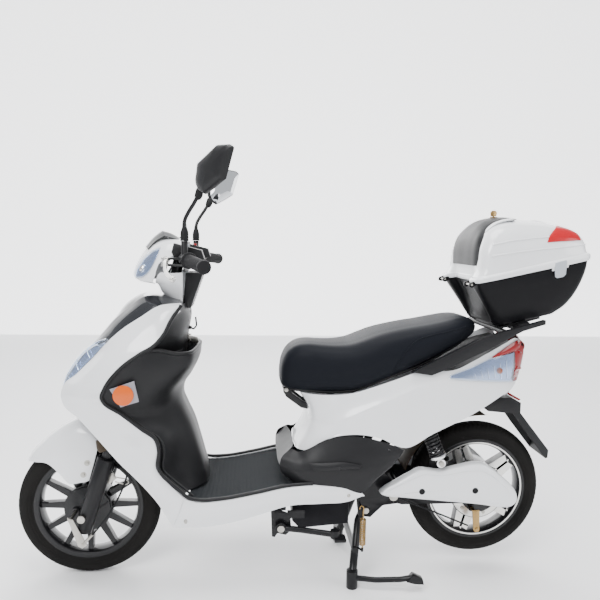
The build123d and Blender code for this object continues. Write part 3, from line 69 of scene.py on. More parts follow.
def material(name, colour, rough, metal=0.0, coat=0.0, bump=None, spread=None, clear=0.0, shine=0.5,
             glow=0.0):
    """Principled material; bump is (scale, strength, distance), spread is (second colour, scale)."""
    m = bpy.data.materials.new(name)
    m.use_nodes = True
    nodes, links = m.node_tree.nodes, m.node_tree.links
    p = nodes["Principled BSDF"]
    values = {"Base Color": (*colour, 1), "Roughness": rough, "Metallic": metal, "Coat Weight": coat,
              "Coat Roughness": 0.06, "Transmission Weight": clear, "Specular IOR Level": shine,
              "Emission Color": (1, 1, 1, 1), "Emission Strength": glow}
    for socket, value in values.items():
        p.inputs[socket].default_value = value
    place = nodes.new("ShaderNodeTexCoord")
    if bump:
        noise = texture_noise(nodes, links, place, bump[0], 4)
        b = nodes.new("ShaderNodeBump")
        b.inputs["Strength"].default_value = bump[1]
        b.inputs["Distance"].default_value = bump[2]
        links.new(noise.outputs["Fac"], b.inputs["Height"])
        links.new(b.outputs["Normal"], p.inputs["Normal"])
    if spread:
        patch = texture_noise(nodes, links, place, spread[1], 6)
        mix = nodes.new("ShaderNodeMixRGB")
        mix.inputs["Color1"].default_value = (*colour, 1)
        mix.inputs["Color2"].default_value = (*spread[0], 1)
        links.new(patch.outputs["Fac"], mix.inputs["Fac"])
        links.new(mix.outputs["Color"], p.inputs["Base Color"])
    return m


WHITE = material("pearl white", (0.80, 0.81, 0.825), 0.24, coat=0.8)
SATIN = material("satin black plastic", (0.009, 0.009, 0.010), 0.42, bump=(2600, 0.25, 0.0004), shine=0.25)
GARNISH = material("dark gloss", (0.016, 0.017, 0.020), 0.16, coat=0.6, shine=0.1)
MATT = material("black rubber", (0.008, 0.008, 0.009), 0.62, bump=(900, 0.3, 0.0005), shine=0.2)
TYRE = material("tyre rubber", (0.008, 0.008, 0.008), 0.74, bump=(500, 0.35, 0.0006), shine=0.05,
                spread=((0.018, 0.017, 0.016), 9))
MAT = material("floor mat rubber", (0.014, 0.016, 0.018), 0.66, bump=(700, 0.5, 0.0008), shine=0.12)
VINYL = material("seat vinyl", (0.008, 0.009, 0.012), 0.46, bump=(420, 0.35, 0.0008), shine=0.05)
STEEL = material("black painted steel", (0.008, 0.008, 0.009), 0.32, coat=0.2, shine=0.14)
FORK = material("black fork paint", (0.009, 0.009, 0.010), 0.36, coat=0.15, shine=0.15)
ZINC = material("zinc plate", (0.55, 0.53, 0.49), 0.32, metal=1.0, spread=((0.34, 0.33, 0.30), 60))
GOLD = material("yellow passivated steel", (0.50, 0.34, 0.14), 0.36, metal=1.0,
                spread=((0.28, 0.17, 0.07), 70))
ALLOY = material("machined alloy", (0.74, 0.73, 0.70), 0.26, metal=1.0)
CHROME = material("chrome", (0.86, 0.86, 0.87), 0.08, metal=1.0)
RIM = material("gloss black rim", (0.007, 0.007, 0.008), 0.27, coat=0.3, shine=0.2)
AMBER = material("amber lens", (0.60, 0.095, 0.0), 0.28, coat=0.3, shine=0.3)
PRISM = material("clear prism plate", (0.24, 0.23, 0.26), 0.3, coat=0.5)
RED = material("red lens", (0.25, 0.002, 0.004), 0.2, coat=0.7, shine=0.3)
PINK = material("bright red reflector", (0.42, 0.004, 0.010), 0.24, coat=0.3, shine=0.3)
LENS = material("lamp lens", (0.80, 0.88, 1.0), 0.05, clear=1.0, coat=1.0)
# Painted reflection: the silver reflector metal is darkened and tinted blue to stand in for the bluish
# reflections inside the lamps.
BOWL_PAINTED_REFLECTION = material("lamp reflector with painted blue reflection", (0.50, 0.56, 0.70), 0.2, metal=0.9)
GLASS = material("mirror glass", (0.80, 0.82, 0.84), 0.03, metal=1.0)
SCREEN = material("smoked screen", (0.010, 0.011, 0.012), 0.14, coat=0.3, shine=0.4)
BROWN = material("brown liner plastic", (0.05, 0.037, 0.025), 0.5, bump=(900, 0.3, 0.0005), shine=0.1)
SILVER = material("latch plastic", (0.40, 0.43, 0.47), 0.4, coat=0.2)
CASE = material("battery case", (0.009, 0.009, 0.011), 0.45, bump=(1500, 0.2, 0.0004), shine=0.1)
DISPLAY = material("display glass", (0.03, 0.035, 0.035), 0.08, coat=1.0)
BOXBLACK = material("box black plastic", (0.006, 0.006, 0.007), 0.38, bump=(1800, 0.2, 0.0004), shine=0.1)


# ---- curve and mesh helpers, all sizes in millimetres ----
def smooth(points, per=6, sharp=(), closed=False):
    """Points along a smooth curve, or rows across a smooth surface, through the given ones."""
    p = np.array(points, float)
    if closed:
        p = np.concatenate([p[-1:], p, p[:2]])
    n = len(p)
    d = np.linalg.norm(np.diff(p, axis=0), axis=-1, keepdims=True) + 1e-6
    step = np.diff(p, axis=0) / d
    before, after = [], []
    for k in range(n):
        first, last = k == 0, k == n - 1
        cut = (k - closed) in sharp
        if first or (cut and not last):
            t_after = step[min(k, n - 2)]
        else:
            t_after = None
        if last or (cut and not first):
            t_before = step[max(k - 1, 0)]
        else:
            t_before = None
        if t_after is None or t_before is None:
            if first:
                both = step[0]
            elif last:
                both = step[-1]
            else:
                both = (step[k - 1] * d[k] + step[k] * d[k - 1]) / (d[k - 1] + d[k])
            t_after = both if t_after is None else t_after
            t_before = both if t_before is None else t_before
        before.append(t_before)
        after.append(t_after)
    out = []
    spans = range(1, n - 2) if closed else range(n - 1)
    for k in spans:
        a, b, m0, m1 = p[k], p[k + 1], after[k] * d[k], before[k + 1] * d[k]
        for i in range(per):
            t = i / per
            out.append(a * (2 * t**3 - 3 * t**2 + 1) + m0 * (t**3 - 2 * t**2 + t)
                       + b * (3 * t**2 - 2 * t**3) + m1 * (t**3 - t**2))
    if not closed:
        out.append(p[-1])
    return np.array(out)


def mesh(name, verts, faces, mat, body, bevel=0.0, thick=0.0, mirrored=False, weld=False):
    """Object from millimetre vertices; thick and bevel are modifiers, mirrored adds the other side."""
    verts = [tuple(c * MM for c in v) for v in verts]
    faces = [tuple(f) for f in faces]
    if mirrored:
        n = len(verts)
        verts = verts + [(x, -y, z) for x, y, z in verts]
        faces = faces + [tuple(n + i for i in reversed(f)) for f in faces]
    data = bpy.data.meshes.new(name)
    data.from_pydata(verts, [], faces)
    data.validate()
    obj = bpy.data.objects.new(name, data)
    bpy.context.scene.collection.objects.link(obj)
    data.shade_smooth()
    for m in mat if isinstance(mat, (list, tuple)) else [mat]:
        data.materials.append(m)
    if weld:
        w = obj.modifiers.new("weld", "WELD")
        w.merge_threshold = 0.0002
    if thick:
        s = obj.modifiers.new("thickness", "SOLIDIFY")
        s.thickness = thick * MM
        s.offset = -1
        s.use_even_offset = False
    if bevel:
        b = obj.modifiers.new("edges", "BEVEL")
        b.width = bevel * MM
        b.segments = 3
        b.limit_method = "ANGLE"
        b.angle_limit = radians(38)
        b.harden_normals = True
    if body:
        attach(obj, body)
    return obj


def grid_faces(rows, cols, closed=False):
    """Four-sided faces of a grid of points, joined round when closed."""
    faces = []
    for i in range(rows - 1):
        for j in range(cols if closed else cols - 1):
            k = (j + 1) % cols
            faces.append((i * cols + j, i * cols + k, (i + 1) * cols + k, (i + 1) * cols + j))
    return faces


def turned(verts, faces, out):
    """Faces put the right way round, so that most of them look along out or away from the point out names."""
    v = np.array(verts)
    total = 0.0
    for f in faces[:: max(1, len(faces) // 400)]:
        a, b, c = v[f[0]], v[f[1]], v[f[2]]
        normal = np.cross(b - a, c - a)
        look = np.array(out[1:]) if out[0] == "along" else (a + b + c) / 3 - np.array(out[1:])
        total += float(np.dot(normal, look))
    return faces if total >= 0 else [tuple(reversed(f)) for f in faces]


def sheet(name, rows, mat, body, per=(6, 6), sharp=((), ()), out=("along", 0, 1, 0), thick=3.0, bevel=0.9,
          both=True):
    """Thin curved panel through rows of points; every row has the same number of points."""
    a = smooth(rows, per[0], sharp[0])
    b = smooth(np.swapaxes(a, 0, 1), per[1], sharp[1])
    g = np.swapaxes(b, 0, 1)
    r, c = g.shape[:2]
    verts = g.reshape(-1, 3).tolist()
    faces = turned(verts, grid_faces(r, c), out)
    touches = both and min(abs(v[1]) for v in verts) < 0.05
    return mesh(name, verts, faces, mat, body, bevel, thick, both, touches)


def solid(name, rings, mat, body, per=(5, 5), sharp=((), ()), bevel=0.0, both=False, hollow=False):
    """Body through rings of points, capped at both ends, or a hollow shell capped only at the last ring."""
    a = smooth(rings, per[0], sharp[0])
    b = smooth(np.swapaxes(a, 0, 1), per[1], sharp[1], closed=True)
    g = np.swapaxes(b, 0, 1)
    r, c = g.shape[:2]
    verts = g.reshape(-1, 3).tolist()
    faces = grid_faces(r, c, closed=True)
    ends = [(r - 1, g[-1])] if hollow else [(0, g[0]), (r - 1, g[-1])]
    for at, ring in ends:
        verts.append(ring.mean(0).tolist())
        centre = len(verts) - 1
        for j in range(c):
            k = (j + 1) % c
            faces.append((centre, at * c + k, at * c + j) if at == 0 else (centre, at * c + j, at * c + k))
    faces = turned(verts, faces, ("from", *g.reshape(-1, 3).mean(0)))
    return mesh(name, verts, faces, mat, body, bevel, 3.0 if hollow else 0.0, both)


def tube(name, points, radius, mat, body, per=8, sides=16, both=False, sharp=()):
    """Round bar along a smooth route; radius is one number or one for each point."""
    route = smooth(points, per, sharp)
    if not isinstance(radius, (list, tuple)):
        radius = [radius] * len(points)
    radii = smooth([(r, 0, 0) for r in radius], per)[:, 0]
    verts, faces = [], []
    along = np.gradient(route, axis=0)
    side = np.cross(along[0], (0.31, 0.52, 0.8))
    for i, p in enumerate(route):
        t = along[i] / (np.linalg.norm(along[i]) + 1e-9)
        side = side - t * np.dot(side, t)
        side = side / (np.linalg.norm(side) + 1e-9)
        up = np.cross(t, side)
        for j in range(sides):
            a = tau * j / sides
            verts.append((p + (side * cos(a) + up * sin(a)) * radii[i]).tolist())
    faces = grid_faces(len(route), sides, closed=True)
    faces.append(tuple(range(sides)))
    last = (len(route) - 1) * sides
    faces.append(tuple(last + j for j in reversed(range(sides))))
    faces = turned(verts, faces, ("from", *route.mean(0)))
    return mesh(name, verts, faces, mat, body, 0.6 if min(radii) > 2 else 0.0, 0.0, both)


def lathe(name, profile, centre, mat, body, steps=120, bevel=0.5, both=False):
    """Ring or disc around a Y axis through centre (x, z), from a closed (radius, y) profile."""
    verts = []
    for i in range(steps):
        a = tau * i / steps
        for r, y in profile:
            verts.append((centre[0] + r * cos(a), y, centre[1] + r * sin(a)))
    n = len(profile)
    faces = []
    for i in range(steps):
        for j in range(n):
            k, m = (j + 1) % n, (i + 1) % steps
            faces.append((i * n + j, i * n + k, m * n + k, m * n + j))
    middle = np.array(profile).mean(0)
    v = np.array(verts)
    f = faces[0]
    normal = np.cross(v[f[1]] - v[f[0]], v[f[2]] - v[f[0]])
    look = np.array([profile[0][0] - middle[0] + profile[1][0] - middle[0], profile[0][1] - middle[1], 0])
    if np.dot(normal, look) < 0:
        faces = [tuple(reversed(f)) for f in faces]
    return mesh(name, verts, faces, mat, body, bevel, 0.0, both)


def plate(name, outline, y0, y1, mat, body, bevel=1.0, both=False):
    """Flat plate with an (x, z) outline between two y values."""
    n = len(outline)
    verts = [(x, y0, z) for x, z in outline] + [(x, y1, z) for x, z in outline]
    faces = [tuple(range(n)), tuple(n + i for i in reversed(range(n)))]
    faces += [(i, n + i, n + (i + 1) % n, (i + 1) % n) for i in range(n)]
    faces = turned(verts, faces, ("from", *np.array(verts).mean(0)))
    return mesh(name, verts, faces, mat, body, bevel, 0.0, both)


def side_surface(obj):
    """Search tree of an object's mesh with its modifiers, for laying details on it."""
    graph = bpy.context.evaluated_depsgraph_get()
    done = obj.evaluated_get(graph)
    m = done.to_mesh()
    m.transform(obj.matrix_world)
    tree = BVHTree.FromPolygons([v.co.copy() for v in m.vertices], [tuple(p.vertices) for p in m.polygons])
    done.to_mesh_clear()
    return tree


def lay(tree, x, z, lift):
    """Point over (x, z) on the left face of a surface, lifted off it."""
    hit = tree.ray_cast(Vector((x * MM, 0.5, z * MM)), Vector((0, -1, 0)))
    if hit[0] is None:
        hit = tree.find_nearest(Vector((x * MM, 0.15, z * MM)))
    p = hit[0] + hit[1] * (lift * MM if hit[1].y > -0.2 else -lift * MM)
    return (p.x / MM, p.y / MM, p.z / MM)


def inlay(name, tree, top, bottom, mat, body, lift=1.5, thick=2.5, steps=(10, 24), bulge=0.0, bevel=0.8):
    """Panel laid on a surface between two (x, z) curves."""
    a = smooth([(x, 0, z) for x, z in top], 12)
    b = smooth([(x, 0, z) for x, z in bottom], 12)
    pick_a = a[np.linspace(0, len(a) - 1, steps[1]).round().astype(int)]
    pick_b = b[np.linspace(0, len(b) - 1, steps[1]).round().astype(int)]
    verts = []
    for i in range(steps[0] + 1):
        t = i / steps[0]
        for j, (p, q) in enumerate(zip(pick_a, pick_b)):
            at = p * (1 - t) + q * t
            rise = bulge * 4 * t * (1 - t) * sin(pi * (j / (steps[1] - 1))) ** 0.5
            verts.append(lay(tree, at[0], at[2], lift + rise))
    faces = turned(verts, grid_faces(steps[0] + 1, steps[1]), ("along", 0, 1, 0))
    return mesh(name, verts, faces, mat, body, bevel, thick, True)


def cad_finish(node, mat, bevel=0.8):
    """Finish of a CAD node that is shown as it is."""
    o = NODES[node]
    o.data.materials.clear()
    for m in mat if isinstance(mat, (list, tuple)) else [mat]:
        o.data.materials.append(m)
    w = o.modifiers.new("weld", "WELD")
    w.merge_threshold = 0.00002
    if bevel:
        b = o.modifiers.new("edges", "BEVEL")
        b.width = bevel * MM
        b.segments = 2
        b.limit_method = "ANGLE"
        b.angle_limit = radians(38)
        b.harden_normals = False
    o.data.shade_smooth()
    s = o.modifiers.new("flat", "EDGE_SPLIT")
    s.split_angle = radians(50)
    return o


def paint(node, rule):
    """Faces of a CAD node get the material slot that rule(centre in mm, normal) returns."""
    for p in NODES[node].data.polygons:
        c = p.center / MM
        p.material_index = rule(c, p.normal)


def coil(name, start, end, radius, wire, turns, mat, body):
    """Helical spring between two points."""
    a, b = np.array(start, float), np.array(end, float)
    axis = (b - a) / np.linalg.norm(b - a)
    side = np.cross(axis, (0, 1, 0) if abs(axis[1]) < 0.9 else (1, 0, 0))
    side /= np.linalg.norm(side)
    up = np.cross(axis, side)
    pts = []
    n = turns * 16
    for i in range(n + 1):
        t = i / n
        closeness = 0.5 - 0.5 * cos(pi * t)
        at = a + (b - a) * (0.82 * t + 0.18 * closeness)
        w = tau * turns * t
        pts.append((at + (side * cos(w) + up * sin(w)) * radius).tolist())
    return tube(name, pts, wire, mat, body, per=1, sides=8)


# ---- front panels ----
def front_panels():
    """White outer panels with the garnish between them, and the nose below it."""
    outer = [(322, 128, 836), (381, 129, 828), (433, 127, 796), (486, 124, 760), (519, 119, 731),
             (561, 108, 686), (618, 92, 629), (659, 76, 592), (664, 84, 566), (656, 96, 546),
             (604, 132, 512), (542, 164, 460), (479, 180, 395), (445, 180, 360), (414, 179, 325),
             (377, 177, 276), (357, 176, 240), (341, 175, 213)]
    inner = [(324, 140, 815), (350, 157, 789), (371, 167, 750), (393, 177, 721), (429, 188, 698),
             (482, 197, 660), (521, 200, 608), (529, 200, 594), (529, 200, 584), (507, 197, 565),
             (479, 195, 540), (424, 189, 493), (390, 187, 465), (383, 185, 440), (385, 183, 385),
             (351, 180, 339), (326, 179, 313), (311, 178, 297)]
    middle = []
    for k, (o, i) in enumerate(zip(outer, inner)):
        swell = 7 if k < 3 or k > 12 else 11
        middle.append((0.5 * (o[0] + i[0]), 0.5 * (o[1] + i[1]) + swell,
                       0.5 * (o[2] + i[2]) + (3 if k < 9 else 0)))
    fold = [(0.22 * o[0] + 0.78 * i[0], 0.22 * o[1] + 0.78 * i[1] + 5, 0.22 * o[2] + 0.78 * i[2])
            for o, i in zip(outer, inner)]
    lip = [(i[0] - 1, i[1] - 7, i[2] - 1) for i in inner]
    panel = sheet("front_panel", [outer, middle, fold, inner, lip], WHITE, "chassis", (6, 6), ((3,), ()),
                  thick=2.6, bevel=0.8)
    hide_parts("front_panels")
    rows = [[(330, 0, 840), (332, 34, 840), (332, 62, 839), (331, 96, 836), (330, 125, 834)],
            [(389, 0, 852), (390, 34, 850), (392, 62, 848), (388, 96, 838), (381, 127, 826)],
            [(445, 0, 851), (440, 34, 849), (434, 62, 846), (431, 98, 825), (428, 126, 798)],
            [(492, 0, 823), (485, 34, 820), (476, 62, 815), (474, 98, 797), (472, 123, 768)],
            [(532, 0, 772), (526, 32, 776), (518, 60, 780), (508, 94, 767), (502, 119, 747)],
            [(562, 0, 737), (556, 30, 741), (549, 56, 744), (532, 92, 741), (519, 116, 732)],
            [(592, 0, 700), (586, 26, 706), (577, 50, 713), (556, 84, 722), (532, 108, 725)]]
    garnish = sheet("centre_garnish", rows, GARNISH, "chassis", (6, 6), ((), (2,)),
                    out=("along", 0.3, 0.1, 1), thick=2.4)
    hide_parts("front_garnish")
    nose = [[(594, 0, 698), (585, 30, 705), (574, 60, 712), (560, 88, 712)],
            [(626, 0, 658), (620, 28, 663), (610, 54, 674), (598, 74, 686)],
            [(655, 0, 620), (649, 26, 625), (640, 48, 632), (632, 64, 642)],
            [(668, 0, 598), (666, 24, 598), (662, 44, 598), (657, 64, 600)],
            [(671, 0, 574), (670, 28, 572), (668, 54, 569), (663, 82, 566)],
            [(662, 0, 546), (661, 32, 545), (659, 62, 545), (655, 94, 546)],
            [(640, 0, 528), (640, 40, 528), (632, 80, 528), (612, 126, 518)]]
    sheet("nose", nose, WHITE, "chassis", (6, 6), ((), ()), out=("along", 1, 0.1, 0.2), thick=2.6)
    back = [[(519, 114, 727), (543, 105, 708), (566, 98, 684), (592, 90, 655), (618, 84, 628),
             (640, 76, 608), (656, 66, 594)],
            [(524, 104, 727), (556, 90, 712), (579, 79, 700), (600, 69, 684), (628, 60, 650),
             (648, 56, 622), (660, 54, 600)]]
    sheet("lamp_bowl", back, BOWL_PAINTED_REFLECTION, "chassis", (10, 6), thick=1.5, bevel=0.3, out=("along", 0.5, 1, 0.5))
    for k, t in enumerate((0.18, 0.4, 0.62, 0.82)):
        a, b = smooth(back[0], 6), smooth(back[1], 6)
        p, q = a[int(t * (len(a) - 1))], b[int(t * (len(b) - 1))]
        lift = np.array((2.5, 2.5, 1.0))
        tube(f"lamp_rib_{k}", [(p + lift).tolist(), ((p + q) / 2 + lift * 2).tolist(), (q + lift).tolist()],
             1.6, CHROME,
             "chassis", both=True)
    lens = [[(517, 121, 729), (543, 114, 708), (563, 109, 685), (592, 101, 656), (619, 93, 627),
             (641, 84, 606), (661, 74, 590)],
            [(529, 117, 733), (556, 109, 712), (578, 102, 691), (603, 93, 664), (630, 84, 634),
             (650, 74, 612), (664, 66, 593)],
            [(527, 110, 735), (561, 99, 722), (584, 89, 706), (606, 80, 687), (634, 71, 652),
             (653, 63, 622), (664, 58, 597)],
            [(522, 106, 729), (560, 92, 715), (582, 80, 702), (603, 70, 687), (630, 62, 652),
             (650, 57, 622), (661, 55, 596)]]
    lamp = sheet("nose_lamp", lens, LENS, "chassis", (5, 6), thick=1.6, bevel=0.4, out=("along", 0.5, 1, 0.5))
    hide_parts("front_lamps")


# ---- inner shield ----
def inner_shield():
    """Black inner shield: the pocket bulge above, the tunnel below and its raised edge."""
    top = [[(318, 0, 829), (318, 40, 829), (318, 70, 829), (320, 100, 829), (323, 132, 829)],
           [(308, 0, 797), (309, 40, 797), (316, 74, 797), (330, 112, 797), (346, 150, 795)],
           [(312, 0, 752), (314, 40, 752), (322, 80, 752), (342, 122, 752), (369, 162, 751)],
           [(318, 0, 716), (320, 40, 716), (330, 84, 718), (360, 130, 720), (398, 174, 720)],
           [(322, 0, 690), (324, 40, 690), (336, 80, 690), (366, 118, 690), (384, 140, 695)]]
    sheet("shield_upper", top, SATIN, "chassis", (5, 6), out=("along", -1, 0.3, 0), thick=3)
    belly = [[(281, 0, 706), (282, 30, 705), (286, 62, 701), (302, 114, 698), (336, 142, 700),
              (378, 158, 711), (424, 186, 702)],
             [(277, 0, 699), (278, 32, 697), (282, 64, 693), (299, 119, 689), (336, 147, 690),
              (386, 166, 702), (436, 190, 697)],
             [(280, 0, 670), (281, 34, 669), (285, 66, 667), (303, 122, 663), (342, 151, 662),
              (402, 176, 672), (470, 197, 668)],
             [(302, 0, 622), (303, 36, 622), (309, 68, 620), (330, 120, 618), (372, 154, 616),
              (438, 184, 622), (515, 200, 614)],
             [(326, 0, 582), (328, 36, 582), (336, 66, 580), (358, 112, 576), (400, 150, 570),
              (462, 182, 574), (528, 200, 588)],
             [(330, 0, 552), (331, 34, 552), (338, 60, 550), (362, 100, 542), (404, 138, 532),
              (452, 172, 534), (506, 197, 563)],
             [(318, 0, 520), (319, 34, 520), (325, 58, 518), (348, 92, 512), (380, 132, 506),
              (414, 166, 508), (462, 193, 525)],
             [(298, 0, 476), (299, 34, 476), (305, 60, 475), (326, 88, 473), (350, 124, 470),
              (372, 160, 470), (398, 186, 474)],
             [(280, 0, 418), (281, 34, 418), (287, 60, 418), (308, 86, 418), (338, 122, 418),
              (362, 158, 420), (385, 183, 420)],
             [(264, 0, 360), (265, 34, 360), (271, 60, 360), (294, 88, 361), (330, 120, 360),
              (356, 152, 359), (378, 181, 372)],
             [(255, 0, 326), (256, 34, 325), (260, 58, 324), (284, 90, 322), (318, 122, 322),
              (334, 150, 322), (345, 179, 331)],
             [(251, 0, 297), (252, 34, 297), (255, 56, 297), (276, 92, 297), (302, 126, 297),
              (312, 150, 297), (316, 177, 300)]]
    shield = sheet("shield_lower", belly, SATIN, "chassis", (5, 5), ((1,), ()), out=("along", -1, 0.4, 0),
                   thick=3)
    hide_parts("leg_shield")
    rim = [(281, 0, 703), (283, 30, 702), (287, 62, 698), (303, 116, 694), (336, 144, 697), (381, 162, 710),
           (408, 178, 712)]
    tube("pocket_rim", rim, 5.5, SATIN, "chassis", both=True)
    edge = [(322, 136, 829), (346, 155, 792), (366, 165, 752), (390, 175, 724), (427, 187, 702),
            (479, 197, 662), (518, 201, 608), (524, 201, 590), (521, 200, 580), (476, 195, 544),
            (421, 190, 498), (384, 187, 467), (377, 185, 440), (379, 184, 386), (345, 181, 341),
            (318, 179, 316), (300, 178, 299), (272, 175, 291), (211, 171, 291), (114, 170, 307),
            (21, 170, 326), (-48, 168, 329)]
    tube("edge_piping", edge, 5.2, SATIN, "chassis", per=6, both=True)
    inner_edge = [(x - 12, y - 13, z - (0 if k > 9 else 7)) for k, (x, y, z) in enumerate(edge[4:17])]
    tube("edge_piping_inner", inner_edge, 3.2, SATIN, "chassis", per=6, both=True)
    pocket = [[(322, 0, 694), (326, 60, 694), (352, 120, 694)],
              [(326, 0, 640), (330, 50, 640), (350, 105, 640)],
              [(328, 0, 604), (330, 46, 604), (344, 94, 604)]]
    sheet("pocket_back", pocket, SATIN, "chassis", (4, 4), out=("along", -1, 0, 0), thick=2)
    guard = [[(600 + 242 * cos(radians(a)), y, 234 + 242 * sin(radians(a))) for y in (0, 30, 60, 74)]
             for a in (150, 158, 166, 173, 180)]
    sheet("splash_guard", guard, SATIN, "chassis", (6, 4), out=("along", -1, 0, 0), thick=3)
    column = [[(306, 0, 800), (307, 22, 800), (313, 36, 800)],
              [(316, 0, 756), (316, 22, 756), (322, 36, 756)],
              [(316, 0, 712), (316, 24, 712), (324, 38, 712)]]
    sheet("lock_panel", column, SATIN, "chassis", (5, 5), out=("along", -1, 0, 0), thick=3)


# ---- floor ----
def floor():
    """Ribbed floor mat on the board between the white sills."""
    body = [(-48, 318), (21, 314), (100, 302), (170, 290), (230, 282), (262, 284), (284, 289)]
    line = smooth([(x, 0, z) for x, z in body], 20)
    count = 300
    verts, faces = [], []
    for p in line:
        for j in range(count + 1):
            y = -160 + 320 * j / count
            ridge = 1.3 if (j % 6) in (1, 2, 3) else 0.0
            cross = 0.5 * sin(p[0] * 0.52) if ridge else 0.0
            reach = max(0.0, (abs(y) - 56) / 104)
            x = p[0] + (24 * min(1, reach) * max(0.0, (p[0] - 200) / 84) ** 2)
            verts.append((x, y, p[2] + 2.0 + ridge + cross))
    faces = turned(verts, grid_faces(len(line), count + 1), ("along", 0, 0, 1))
    mat = mesh("floor_mat_ribs", verts, faces, MAT, "chassis", 0.0, 4.0)
    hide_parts("floor_mat")
    cad_finish("floorboard", SATIN)
    rows = [[(311, 166, 297), (276, 166, 286), (211, 166, 288), (114, 166, 304), (21, 166, 323),
             (-61, 166, 327), (-138, 166, 320), (-190, 168, 301)],
            [(313, 177, 296), (277, 177, 284), (212, 177, 285), (114, 177, 301), (21, 177, 320),
             (-61, 177, 324), (-138, 177, 317), (-192, 176, 299)],
            [(324, 180, 258), (270, 181, 250), (180, 181, 264), (110, 181, 276), (20, 181, 300),
             (-70, 181, 306), (-140, 180, 301), (-196, 177, 294)],
            [(341, 175, 213), (264, 176, 211), (180, 176, 223), (112, 176, 241), (15, 176, 269),
             (-75, 176, 273), (-150, 176, 278), (-190, 176, 293)],
            [(338, 152, 212), (264, 152, 212), (180, 152, 223), (112, 152, 242), (15, 152, 270),
             (-75, 152, 274), (-150, 152, 279), (-188, 160, 293)]]
    sill = sheet("sill", rows, WHITE, "chassis", (5, 6), ((1, 3), ()), thick=2.6)
    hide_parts("sills")
    for x, z in ((306, 232), (-150, 297)):
        lathe("sill_screw", [(0.01, 177), (0.01, 182.2), (3.2, 182), (5, 180.2), (5, 177)], (x, z), ZINC,
              "chassis", 24, 0.2, True)


